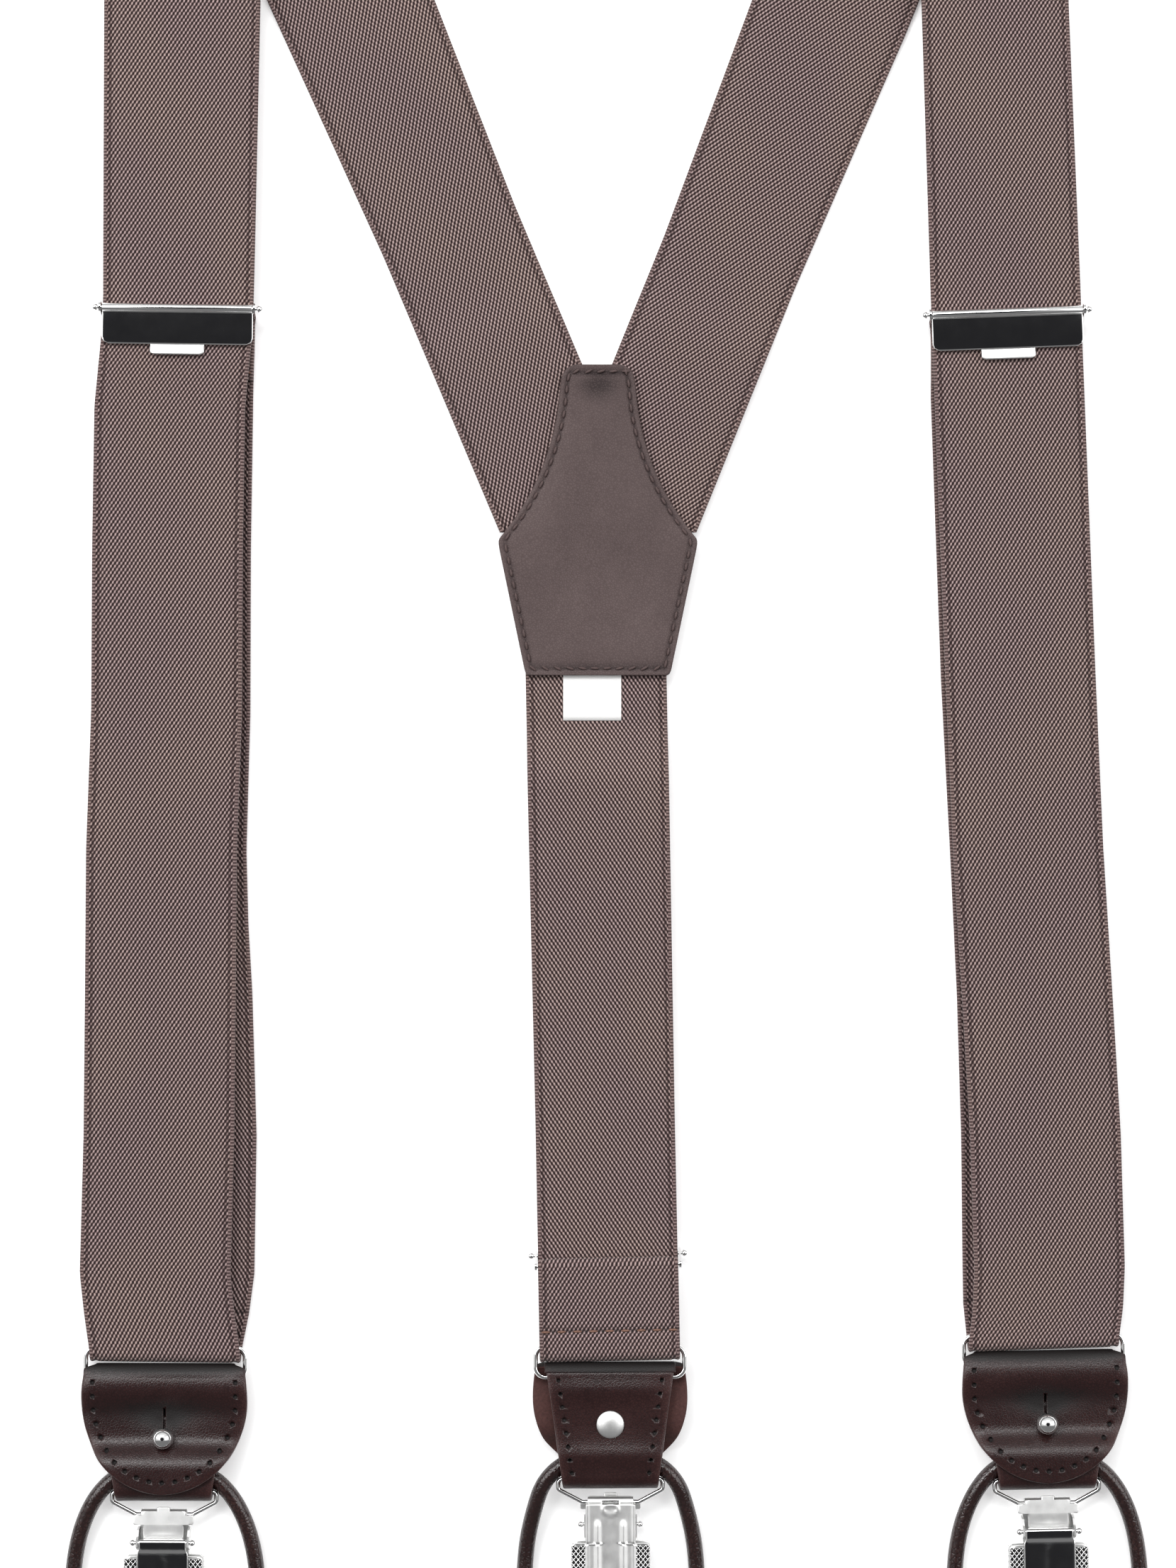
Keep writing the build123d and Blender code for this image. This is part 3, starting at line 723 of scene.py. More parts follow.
def stitch_tree():
    """Geometry Nodes: rounded stitches laid end to end along a curve, with gaps between them."""
    tree = bpy.data.node_groups.new("stitch_row", "GeometryNodeTree")
    face = tree.interface
    face.new_socket("Geometry", in_out="INPUT", socket_type="NodeSocketGeometry")
    for label, start in (("Pitch", 0.0034), ("Stitch", 0.0024), ("Radius", 0.00028)):
        face.new_socket(label, in_out="INPUT", socket_type="NodeSocketFloat").default_value = start
    face.new_socket("Thread", in_out="INPUT", socket_type="NodeSocketMaterial")
    face.new_socket("Geometry", in_out="OUTPUT", socket_type="NodeSocketGeometry")
    new, link = tree.nodes.new, tree.links.new
    given, result = new("NodeGroupInput"), new("NodeGroupOutput")
    points = new("GeometryNodeCurveToPoints")
    points.mode = "LENGTH"
    link(given.outputs["Geometry"], points.inputs["Curve"])
    link(given.outputs["Pitch"], points.inputs["Length"])
    ball = new("GeometryNodeMeshUVSphere")
    ball.inputs["Segments"].default_value = 8
    ball.inputs["Rings"].default_value = 6
    ball.inputs["Radius"].default_value = 1.0
    size = new("ShaderNodeCombineXYZ")
    half = new("ShaderNodeMath")
    half.operation = "MULTIPLY"
    half.inputs[1].default_value = 0.5
    link(given.outputs["Stitch"], half.inputs[0])
    link(given.outputs["Radius"], size.inputs["X"])
    link(given.outputs["Radius"], size.inputs["Y"])
    link(half.outputs[0], size.inputs["Z"])
    place = new("GeometryNodeInstanceOnPoints")
    link(points.outputs["Points"], place.inputs["Points"])
    link(ball.outputs["Mesh"], place.inputs["Instance"])
    link(points.outputs["Rotation"], place.inputs["Rotation"])
    link(size.outputs[0], place.inputs["Scale"])
    real, smooth, thread = (new("GeometryNodeRealizeInstances"), new("GeometryNodeSetShadeSmooth"),
                            new("GeometryNodeSetMaterial"))
    link(place.outputs["Instances"], real.inputs["Geometry"])
    link(real.outputs["Geometry"], smooth.inputs["Geometry"])
    link(smooth.outputs["Geometry"], thread.inputs["Geometry"])
    link(given.outputs["Thread"], thread.inputs["Material"])
    link(thread.outputs["Geometry"], result.inputs["Geometry"])
    return tree


STITCH_TREE = stitch_tree()


def stitches(name, lines, pitch, length, radius, thread):
    """Rows of stitches along lines of points in metres, as one mesh."""
    curve = bpy.data.curves.new(name, "CURVE")
    curve.dimensions = "3D"
    for points in lines:
        spline = curve.splines.new("POLY")
        spline.points.add(len(points) - 1)
        for point, place in zip(spline.points, points):
            point.co = (*place, 1)
    row = added(name, curve)
    modifier = row.modifiers.new("stitches", "NODES")
    modifier.node_group = STITCH_TREE
    values = {"Pitch": pitch * MM, "Stitch": length * MM, "Radius": radius * MM, "Thread": thread}
    for socket in STITCH_TREE.interface.items_tree:
        if socket.in_out == "INPUT" and socket.name in values:
            modifier[socket.identifier] = values[socket.name]
    return baked(row)


def ripple(seed, size, height):
    """Soft unevenness over a piece: a sum of slow waves with fixed phases."""
    draw = random.Random(seed)
    waves = [(draw.uniform(-1, 1) / size, draw.uniform(0.4, 1) / size, draw.uniform(0, 6.28))
             for _ in range(5)]
    return lambda x, y: height * sum(math.sin(a * x + b * y + c) for a, b, c in waves) / 3


def put(piece, body, slot, *nodes):
    """Let a piece ride on its body and stand for its nodes; its slot is not used."""
    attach(piece, body)
    if nodes:
        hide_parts(*nodes)


# ---------------------------------------------------------------- cords

CORD_R = 2.0
CORD_X = 23.0
TAB_TOP = -69.5
STACK_H = 10.7
CORD_LIE = 2.05


def cord_route(name):
    """A cord's line: out of its pocket on both sides, then down to its button tabs."""
    at = CORD_Y[name]
    lie = STACK_H - CORD_LIE if name == "back" else CORD_LIE
    drop, reach_x = lie - POCKET_Z, CORD_X * SIZE[name]
    half_route = [
        (10.5, at - 0.3, POCKET_Z), (16.4, at - 5.4, POCKET_Z),
        (0.885 * reach_x, at - 13.3, POCKET_Z + 0.45 * drop),
        (0.975 * reach_x, at - 22.4, POCKET_Z + 0.9 * drop),
        (reach_x, (at - 22.4 + TAB_TOP) / 2, lie), (reach_x, TAB_TOP, lie),
    ]
    return ([(-x, y, z) for x, y, z in reversed(half_route)] + [(0, at + 0.2, POCKET_Z)]
            + half_route)


def rolled_cord(name):
    """The cord of one end, as a bevelled curve."""
    route = cord_route(name)
    curve = bpy.data.curves.new(f"{name}_rolled_cord", "CURVE")
    curve.dimensions = "3D"
    spline = curve.splines.new("NURBS")
    spline.points.add(len(route) - 1)
    for point, place in zip(spline.points, route):
        point.co = (*(END[name] @ Vector(place)), 1)
    spline.order_u = 3
    spline.use_endpoint_u = True
    spline.resolution_u = 16
    curve.bevel_depth = CORD_R * MM
    curve.bevel_resolution = 5
    curve.use_fill_caps = True
    curve.materials.append(CORD)
    cord_piece = added(f"{name}_rolled_cord", curve)
    put(cord_piece, f"{name}_cord_body", "end_leather", f"{name}_cord")
    END[name] @ Vector(route[0])


for end_name in ENDS:
    rolled_cord(end_name)


# ---------------------------------------------------------------- yoke

CENTRE_X = 2.45
PATCH_TOP_Y, PATCH_BOTTOM_Y = 103.1, 26.8
patch_low, patch_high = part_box("yoke_patch_inner")
PLAN = Matrix.Translation((
    (patch_low.x + patch_high.x) / 2 - CENTRE_X * MM, patch_high.y - PATCH_TOP_Y * MM, 0.0,
)) @ Matrix.Scale(MM, 4)


def table_of(*pairs):
    """A function that runs through (place, value) pairs."""
    places, values = zip(*sorted(pairs))
    return lambda place: float(np.interp(place, places, values))


def through_arc(a, b, c):
    """Half width at a height on the circle through three (half width, height) points."""
    (ax, ay), (bx, by), (cx, cy) = a, b, c
    d = 2 * (ax * (by - cy) + bx * (cy - ay) + cx * (ay - by))
    sa, sb, sc = ax * ax + ay * ay, bx * bx + by * by, cx * cx + cy * cy
    ux = (sa * (by - cy) + sb * (cy - ay) + sc * (ay - by)) / d
    uy = (sa * (cx - bx) + sb * (ax - cx) + sc * (bx - ax)) / d
    radius = math.hypot(ax - ux, ay - uy)
    return lambda y: ux - math.copysign(math.sqrt(radius**2 - (y - uy) ** 2), ux - bx)


patch_arc = through_arc((9.3, 98.1), (12.9, 80.0), (23.6, 61.2))
patch_half = table_of(
    (103.1, 5.6), (102.9, 6.6), (102.3, 7.6), (101.4, 8.4), (100.0, 8.95), (98.1, 9.3),
    *[(y, patch_arc(y)) for y in range(62, 98, 2)],
    (61.2, 23.6), (60.6, 24.15), (59.9, 24.4), (58.6, 24.4),
    (28.2, 18.05), (27.4, 17.8), (27.0, 17.4), (26.8, 16.9))
PATCH_ROWS = ([103.1, 102.95, 102.6, 102.0, 101.2, 100.0] + list(np.arange(99.0, 62.0, -1.5))
              + [61.6, 61.0, 60.4, 59.8, 59.0] + list(np.arange(57.5, 29.0, -1.5))
              + [28.4, 27.8, 27.3, 27.0, 26.8])


SEAM_INSET = 1.7
PATCH_T = 1.4
LABEL_T = 0.2
LABEL_HALF = 7.15


def edge_of(row, x):
    """How far a place on a patch lies from the patch's nearest edge."""
    return min(row["half"] - abs(x), PATCH_TOP_Y - row["y"], row["y"] - PATCH_BOTTOM_Y)


def dip(row, x):
    """The hollow between the two straps at the patch's top."""
    return bell(x, 0.4, 4.6) * bell(row["y"], 98.0, 3.2)


def patch(name, level, face_up, node):
    """One yoke patch: cut leather with rolled edges, sunk a little along its stitching."""
    wave = ripple(5 if face_up else 6, size=9.0, height=0.1)
    facing = (0, 1 if face_up else -1)
    rows = [row_at(y, level, patch_half(y), facing, CENTRE_X, PATCH_TOP_Y - y)
            for y in PATCH_ROWS]

    def relief(row, x, height):
        if height <= 0:
            return 0.0
        edge = edge_of(row, x)
        seam = -0.28 * bell(edge, SEAM_INSET, 0.55)
        swell = 0.22 * share_of((edge - 2.0) / 4.0)
        depth = seam + swell + wave(x, row["y"]) * min(1.0, edge / 4) - 0.5 * dip(row, x)
        return depth if face_up else min(0.0, depth)

    # painted shade: darker in the dip between the straps and along the sunk seam line
    def crease(row, x, height):
        return dip(row, x) + 0.9 * bell(edge_of(row, x), SEAM_INSET, 0.45)

    def rub(row, x, height):
        return math.exp(-edge_of(row, x) / 0.7)

    piece = band(name, rows, lambda half: leather_section(half, PATCH_T, 70), PLAN, PATCH, relief,
                 {"crease": crease, "rub": rub})
    put(piece, "yoke", "patch_leather", node)
    patch_seam(name, level + (0.78 if face_up else -0.5))


def patch_seam(name, height):
    """The stitching round a patch."""
    bottom = PATCH_BOTTOM_Y + SEAM_INSET
    seam = [*np.arange(PATCH_TOP_Y - SEAM_INSET, bottom, -1.0), bottom]
    right = [(CENTRE_X + patch_half(min(max(y, 28.0), 101.0)) - SEAM_INSET, y) for y in seam]
    left = [(2 * CENTRE_X - x, y) for x, y in reversed(right)]
    loop = right + left + right[:1]
    sewn = stitches(name + "_stitching", [[PLAN @ Vector((x, y, height)) for x, y in loop]],
                    pitch=3.0, length=2.0, radius=0.34, thread=DARK_THREAD)
    put(sewn, "yoke", "patch_leather")


patch("inner_yoke_patch", 3.7, True, "yoke_patch_inner")
patch("outer_yoke_patch", 0.7, False, "yoke_patch_outer")

label_rows = rows_along([Vector((31.0, 2.86)), Vector((15.7, 2.86))], lambda s, y: LABEL_HALF,
                        side=lambda s, y: 1.05, step=1.5)
label_wave = ripple(9, size=6.0, height=0.05)
label = band("plain_label", label_rows, lambda half: leather_section(half, LABEL_T, 10), PLAN,
             TAPE, lambda row, x, height: label_wave(x, row["y"]))
put(label, "yoke", "label", "label")


# ---------------------------------------------------------------- webbing

FOLDS = {"front_left": (-98.3, 284.6, 0.75, -22.88), "front_right": (96.7, 277.8, -2.1, 22.0)}
SHOULDER_R = 2.2
YOKE_MEET_Y = 62.0
SPLIT = 15.0
WEAVE_START = 2000.0
FOLD_Y = 0.75
CORNER_R = 1.99
UNDER_PATCH = 20.0
RAMP_FROM_END, RAMP_LENGTH, RAMP_RISE = 78.0, 16.0, 1.5
MAIN_WIDTH = {
    "front_left": table_of((0, 37.0), (262, 37.0), (275, 37.3), (336, 38.4), (412, 38.5)),
    "front_right": table_of((0, 37.0), (262, 36.8), (330, 36.1), (370, 37.6), (402, 38.5)),
    "back": table_of((0, 34.3), (60, 34.2), (140, 34.7), (210, 34.7)),
}
MAIN_SIDE = {
    "front_left": table_of((3, 0), (12, -1.4), (22, -2.6), (56, -2.1), (92, -2.2), (126, -2.4),
                           (160, -1.6), (200, -1.9), (235, -1.8), (254, -0.2), (262, 0)),
    "front_right": table_of((3, 0), (10, 1.2), (20, 2.0), (53, 2.2), (88, 1.4), (123, 0.5),
                            (165, 0.2), (245, 0)),
    "back": table_of((0, 0), (1, 0)),
}
RETURN_SIDE = {
    "front_left": table_of((3, 0), (12, 1.7), (22, 2.9), (56, 3.0), (91, 1.5), (108, 0.3),
                           (126, -0.4), (160, 0.1), (200, -0.3), (240, -0.2), (250, 0)),
    "front_right": table_of((3, 0), (12, -0.6), (22, -0.4), (53, 0.4), (88, 0.6), (123, 0.2),
                            (165, -0.5), (235, -0.5), (248, 0)),
    "back": table_of((0, 0), (1, 0)),
}
RETURN_START = {"front_left": 12.0, "front_right": 12.0, "back": 7.7}


def strap_wave(seed, height):
    """Slow unevenness along a strap."""
    wave = ripple(seed, size=26.0, height=height)
    return lambda row, x, level: wave(x * 0.35, row["y"])


def shoulder_rows(name, diagonal):
    """Rows of the flat webbing from its join with the front strap, closer at the fold."""
    width = table_of((-SPLIT, SHOULDER_W), (100, SHOULDER_W), (168, DIAGONAL_W), (400, DIAGONAL_W))
    stops = [Vector((y, 0)) for y in (-SPLIT, -8, 20, diagonal)]
    path = spread(stops[:2], 2.0)
    path += spread(stops[1:3], 0.5)[1:]
    path += spread(stops[2:], 2.0)[1:]
    return [row_at(point.x, 0.0, width(point.x) / 2,
                   s=WEAVE_START - MAIN_LENGTH[name] + point.x + SPLIT) for point in path]


def trimmed(piece, planes):
    """Cuts away what lies beyond each (point, direction) plane and closes the cuts."""
    cut = bmesh.new()
    cut.from_mesh(piece.data)
    for point, direction in planes:
        geometry = cut.verts[:] + cut.edges[:] + cut.faces[:]
        bmesh.ops.bisect_plane(cut, geom=geometry, plane_co=point, plane_no=direction,
                               clear_outer=True)
        rim = [edge for edge in cut.edges if edge.is_boundary]
        bmesh.ops.holes_fill(cut, edges=rim, sides=0)
    bmesh.ops.recalc_face_normals(cut, faces=cut.faces)
    cut.to_mesh(piece.data)
    cut.free()


def shoulder_strap(name):
    """Webbing over the shoulder's fold and down its diagonal into the yoke, cut on the mitre."""
    side_name = name.split("_")[1]
    fold_x, fold_y, front_lean, diagonal_lean = FOLDS[name]
    angle = math.radians((front_lean - diagonal_lean) / 2)
    normal = Vector((-math.sin(angle), math.cos(angle)))
    place = (PLAN @ Matrix.Translation((fold_x, fold_y, 0))
             @ Matrix.Rotation(-math.radians(front_lean), 4, "Z"))
    diagonal = (fold_y - YOKE_MEET_Y) / math.cos(math.radians(diagonal_lean)) + UNDER_PATCH
    ramp = diagonal - RAMP_FROM_END
    wave = ripple(21 if side_name == "left" else 22, size=30.0, height=0.12)
    piece = band(f"{side_name}_shoulder_webbing", shoulder_rows(name, diagonal), webbing_section,
                 Matrix.Identity(4), WEBBING)
    half_turn = math.pi * SHOULDER_R
    for vertex in piece.data.vertices:
        x, y, level = vertex.co
        flat = Vector((x, y))
        beyond = flat.dot(normal)
        foot = flat - normal * beyond
        if beyond <= 0:
            spot, height = flat, MAIN_Z + level
        elif beyond < half_turn:
            around = beyond / SHOULDER_R
            spot = foot + normal * (SHOULDER_R + level) * math.sin(around)
            height = MAIN_Z - SHOULDER_R + (SHOULDER_R + level) * math.cos(around)
        else:
            spot = foot - normal * (beyond - half_turn)
            climb = share_of((y - ramp) / RAMP_LENGTH)
            height = MAIN_Z - 2 * SHOULDER_R - level + RAMP_RISE * eased(climb)
            height += (wave(x * 0.4, y) + 0.1) * share_of((y - 20) / 30) * (1 - climb)
        vertex.co = place @ Vector((spot.x, spot.y, height))
    outwards = 1 if side_name == "left" else -1
    trimmed(piece, (
        (PLAN @ Vector((CENTRE_X - 0.05 * outwards, 0, 0)), Vector((outwards, 0, 0))),
        (PLAN @ Vector((0, YOKE_MEET_Y, 0)), Vector((0, -1, 0)))))
    put(piece, "yoke", "webbing", f"{side_name}_shoulder_strap")


def main_path(name):
    """Side view of an end's main webbing: down to the ring, round it and a little way up."""
    if name == "back":
        top = [(202.2, STACK_H - 2.1), (155.2, STACK_H - 2.1), (143.2, MAIN_Z)]
        radii = [14, 14, CORNER_R, CORNER_R]
    else:
        fold_x, fold_y, *_ = FOLDS[name]
        at_fold = STRAP[name].inverted() @ PLAN @ Vector((fold_x, fold_y, 0))
        top = [(at_fold.y - SPLIT, MAIN_Z)]
        radii = [CORNER_R, CORNER_R]
    points = top + [(FOLD_Y, MAIN_Z), (FOLD_Y, RETURN_Z), (RETURN_START[name], RETURN_Z)]
    return rounded(points, radii)


MAIN_LENGTH = {name: sum((b - a).length for a, b in zip(main_path(name), main_path(name)[1:]))
               for name in ENDS}


def main_webbing(name, seed):
    """The main layer of a strap, down to the ring and round it."""
    width, length = MAIN_WIDTH[name], MAIN_LENGTH[name]
    rows = rows_along(main_path(name), lambda s, y: width(y) / 2,
                      start=WEAVE_START - length)
    for row in rows:
        past_ring = row["s"] - WEAVE_START + RETURN_START[name] >= 0
        row["x"] = (RETURN_SIDE if past_ring else MAIN_SIDE)[name](row["y"])
    main = band(f"{name}_webbing", rows, webbing_section, STRAP[name], WEBBING,
                strap_wave(seed, 0.1))
    low_y = 26.0 if name != "back" else 30.0
    high_y = REACH[name] - 6 if name != "back" else 120.0
    STRAP[name] @ Vector((0, high_y, MAIN_Z))
    STRAP[name] @ Vector((0, low_y, MAIN_Z))
    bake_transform(main)
    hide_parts("back_strap" if name == "back" else f"{name.split('_')[1]}_front_strap")


def return_webbing(name):
    """The doubled layer: from the ring up to the adjuster's bar, round it and back."""
    width, bar_y, wrap = MAIN_WIDTH[name], REACH[name] - 2.0, BAR_Z - RETURN_Z
    tail = min(20.0 if name == "back" else 15.0, REACH[name] - 8.0)
    path = rounded(
        [(RETURN_START[name], RETURN_Z), (bar_y + wrap, RETURN_Z), (bar_y + wrap, BAR_Z + wrap),
         (bar_y - 1.5, BAR_Z + wrap), (bar_y - 5.5, TAIL_Z), (bar_y - tail, TAIL_Z)],
        [wrap - 0.01, wrap - 0.01, 2.0, 2.0])
    rows = rows_along(path, lambda s, y: width(y) / 2, lambda s, y: RETURN_SIDE[name](y),
                      start=WEAVE_START)
    back = band(f"{name}_return_webbing", rows, webbing_section, STRAP[name], WEBBING)
    near, far = (13.0, REACH[name] - 12) if name != "back" else (8.0, 20.0)
    STRAP[name] @ Vector((0, near, 0))
    STRAP[name] @ Vector((0, far, 0))
    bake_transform(back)
    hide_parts(f"{name}_strap_loop")
    tail_stitching(name, bar_y - tail + 1.9)


def tail_stitching(name, row_y):
    """The row that sews the tail to the doubled layer, on both of its faces."""
    half = MAIN_WIDTH[name](row_y) / 2 - 1.6
    x0 = RETURN_SIDE[name](row_y)
    lines = [[STRAP[name] @ Vector((x0 + x, row_y, level)) for x in (-half, half)]
             for level in (RETURN_Z - WEB_T / 2 - 0.02, TAIL_Z + WEB_T / 2 + 0.02)]
    sewn = stitches(f"{name}_tail_stitching", lines, pitch=3.5, length=2.2, radius=0.3,
                    thread=SEAM_THREAD)
    put(sewn, f"{name}_adjuster" if name != "back" else "back_end", "webbing")


shoulder_strap("front_left")
shoulder_strap("front_right")
for index, end_name in enumerate(ENDS):
    main_webbing(end_name, 40 + index)
    return_webbing(end_name)


# ---------------------------------------------------------------- leather ends

def rows_at(path, places, half_width, start=0.0):
    """Rows of a band that runs one way, at given places along its local Y."""
    ys = np.array([point.x for point in path])
    zs = np.array([point.y for point in path])
    order = np.argsort(ys)

    def level(y):
        return float(np.interp(y, ys[order], zs[order]))
    rows, length, last = [], start, None
    for y in places:
        along = Vector((-0.4, level(y - 0.2) - level(y + 0.2))).normalized()
        here = Vector((y, level(y)))
        if last is not None:
            length += (here - last).length
        last = here
        rows.append(row_at(y, here.y, half_width(y), (along.y, -along.x), s=length))
    return rows


def leather_marks(seed, inner_suede=True, crease_shades=()):
    """Edge rub, suede on the inner face and painted crease shade, as attributes."""
    wave = ripple(seed, size=7.0, height=1.0)

    def rub(row, x, level):
        return math.exp(-(row["half"] - abs(x)) / 0.9) + 0.25 * max(0.0, wave(x, row["y"]))

    # painted shade: how much a crease or hollow darkens the leather's colour
    def crease(row, x, level):
        return min(1.0, sum(depth * bell(x, cx, wx) * bell(row["y"], cy, wy)
                            for cx, cy, wx, wy, depth in crease_shades))

    def suede(row, x, level):
        return 1.0 if inner_suede and level < 0 and row["half"] - abs(x) > 0.05 else 0.0
    return {"rub": rub, "crease": crease, "suede": suede}


NECK_HALF = 17.2
FLAP_HALF = 20.4
FLAP_TOP = -0.05 - LEATHER_T / 2
SHOULDER_Y = -9.0


def leather_lining(name, index):
    """The strip behind the flap: down from the ring, round the cord and back up to the stud."""
    foot, stud, here = FOOT_Y[name], STUD_Y[name], END[name]
    hump, flat = CORD_Y[name] + 1.8, CORD_Y[name] + 6.0
    path = rounded(
        [(-1.6, 2.0), (-2.9, 1.5), (foot + 0.75, 1.5), (foot + 0.75, 7.2),
         (hump, 7.2), (flat, 3.2), (stud + 4.6, 3.2)], [1.5, 2.84, 2.84, 2.5, 2.5])
    half_at = table_of((foot - 1, 11.4), (1, NECK_HALF * SIZE[name]))
    rows = rows_along(path, lambda s, y: half_at(y), step=1.2)
    wave = ripple(60 + index, size=8.0, height=0.05)

    def relief(row, x, level):
        """Sunk round the stud, swelling above and below it, on the run behind the stud only."""
        if row["z"] > 2.2:
            return wave(x, row["y"])
        off = row["y"] - stud
        swell = 0.7 * (bell(off, 8.4, 2.3) + bell(off, -7.6, 2.3)) * math.exp(-(x / 15.0) ** 4)
        sunk = -0.35 * bell(off, 0, 4.6) * (0.6 + 0.4 * bell(x, 0, 5.0))
        fade = min(share_of((row["y"] - foot - 1.5) / 3), share_of((-row["y"] - 2.3) / 1.5))
        return wave(x, row["y"]) - (swell + sunk) * (1.0 if level < 0 else 0.4) * fade

    strip = band(f"{name}_leather_lining", rows,
                 lambda half: leather_section(half, columns=24), here, LEATHER,
                 relief, leather_marks(70 + index, False))
    punched = [(side * (half_at(y) - 2.7), y, 1.5)
               for side in (-1, 1) for y in np.linspace(-4.2, foot + 4.4, 8)]
    # painted shade: the cut walls of the stud hole and punched holes take the near-black hole
    # material
    strip = carved(strip, cylinders("hole", [(0, stud, 3.2)], radius=1.1, low=-2.5, high=2.5,
                                    matrix=here, look=HOLE_SHADE, sides=16))
    strip = carved(strip, cylinders("holes", punched, radius=0.5, low=-2.2, high=-0.1,
                                    matrix=here, look=HOLE_SHADE))
    put(strip, f"{name}_leather", "end_leather", f"{name}_leather_strip")


def leather_flap(name, index):
    """The D-shaped flap and the turn by which it hangs on the ring, with its keyhole."""
    stud, here = STUD_Y[name], END[name]
    hump, flat, tip = CORD_Y[name] + 1.8, CORD_Y[name] + 6.0, FOOT_Y[name] + 2.4
    wide, neck, depth = FLAP_HALF * SIZE[name], NECK_HALF * SIZE[name], SHOULDER_Y - tip
    flap_path = rounded(
        [(FLAP_TOP, 4.4), (-5.2, 6.1), (-11.8, 4.5), (flat + 1.1, 4.95), (hump + 1.0, 8.85),
         (tip - 1, 8.85)], [7, 10, 6, 5])
    level_at = table_of(*[(point.x, point.y) for point in flap_path])
    start = FLAP_TOP - 1.9
    wrap_path = rounded([(-2.3, 1.5), (FLAP_TOP, 1.5), (FLAP_TOP, 4.4), (start, level_at(start))],
                        [1.44, 1.44])

    def flap_half(y):
        """Nearly straight sides, then half an oval."""
        if y >= SHOULDER_Y:
            return wide - 1.3 * ((y - SHOULDER_Y) / (1 - SHOULDER_Y)) ** 2
        share = min(1.0, (SHOULDER_Y - y) / depth)
        return max(0.05, wide * math.sqrt(max(0.0, 1 - share * share)))

    def wrap_half(s, y):
        """Narrow enough for the ring below its wire, full width above it."""
        return neck + (flap_half(start) - neck) * eased((s - 3.0) / 1.3)

    places = list(np.linspace(start, SHOULDER_Y, 14))
    places += [SHOULDER_Y - depth * math.sin(a) for a in np.linspace(0.04, math.pi / 2, 40)]
    wrap_rows = rows_along(wrap_path, wrap_half, step=0.5)[:-1]
    rows = wrap_rows + rows_at(flap_path, places, flap_half, wrap_rows[-1]["s"])
    wave = ripple(80 + index, size=7.0, height=0.16)

    def relief(row, x, level):
        """Puckers above the ball, where the keyhole's slit is pulled open."""
        y = row["y"]
        if y > -3.0:
            return 0.0
        pucker = 0.18 * bell(x, 0, 3.4) * bell(y, stud + 4.0, 2.6)
        pucker *= math.cos(y * 4.2 + abs(x) * 1.4)
        sunk = -0.3 * bell(row["half"] - abs(x), 0, 1.0)
        dished = -0.45 * bell(x, 0, 9.0) * bell(y, -12.0, 4.0)
        return wave(x, y) + pucker + sunk * (1 if level > 0 else 0.4) + dished

    # painted shade spots (x, y, width across, width along, depth): round the keyhole's slit, along
    # the top fold and in the dished middle of the flap
    crease_shades = [(0, stud + 4.0, 5.0, 2.2, 0.8), (0, -0.9, 30.0, 1.5, 1.0),
               (0, -11.0, 13.0, 2.6, 0.5)]
    flap = band(f"{name}_leather_flap", rows, lambda half: leather_section(half, columns=30),
                here, LEATHER, relief, leather_marks(90 + index, True, crease_shades))
    holes = []
    for angle in np.linspace(-1.82, 1.82, 21):
        x = (wide - 2.9) * (math.sin(angle) if abs(angle) < 1.57 else math.copysign(1, angle))
        y = SHOULDER_Y - (depth - 3.0) * math.cos(angle)
        holes.append((x, y, level_at(y)))
    # painted shade: the walls of the holes, the keyhole and its slit take the near-black hole
    # material
    flap = carved(flap, cylinders("holes", holes, radius=0.58, low=0.1, high=2.4,
                                  matrix=here, look=HOLE_SHADE))
    flap = carved(flap, cylinders("slit", [(0, stud, 4.9)], radius=1.4, low=-2.0, high=2.0,
                                  matrix=here, look=HOLE_SHADE, sides=16))
    flap = carved(flap, block("slot", (-0.3, 0.3), (stud + 1.0, stud + 6.8), (2.6, 7.6), here,
                              HOLE_SHADE))
    here @ Vector((0, -4.6, 4.5))
    here @ Vector((0, -8.5, 4.8))
    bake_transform(flap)
    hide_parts(f"{name}_flap")


for index, end_name in enumerate(ENDS):
    leather_lining(end_name, index)
    leather_flap(end_name, index)


# ---------------------------------------------------------------- button tabs

def plate(name, loops, low, high, bevel, matrix, look):
    """A flat plate with rounded edges from closed plan loops, the later ones cut out of it."""
    curve = bpy.data.curves.new(name, "CURVE")
    curve.dimensions = "2D"
    curve.fill_mode = "BOTH"
    for loop in loops:
        spline = curve.splines.new("POLY")
        spline.points.add(len(loop) - 1)
        for point, (x, y) in zip(spline.points, loop):
            point.co = (x, y, 0, 1)
        spline.use_cyclic_u = True
    curve.extrude = (high - low) / 2 - bevel
    curve.bevel_depth = bevel
    curve.bevel_resolution = 3
    curve.offset = -bevel
    made = baked(added(name, curve))
    made.name = name
    made.data.transform(matrix @ Matrix.Translation((0, 0, (low + high) / 2)))
    tidy = bmesh.new()
    tidy.from_mesh(made.data)
    bmesh.ops.remove_doubles(tidy, verts=tidy.verts, dist=1e-7)
    bmesh.ops.recalc_face_normals(tidy, faces=tidy.faces)
    tidy.to_mesh(made.data)
    tidy.free()
    made.data.materials.clear()
    made.data.materials.append(look)
    return made


def arc(cx, cy, radius, start, end, count=14):
    """Points along an arc, from one angle in degrees to another."""
    return [(cx + radius * math.cos(math.radians(a)), cy + radius * math.sin(math.radians(a)))
            for a in np.linspace(start, end, count)]


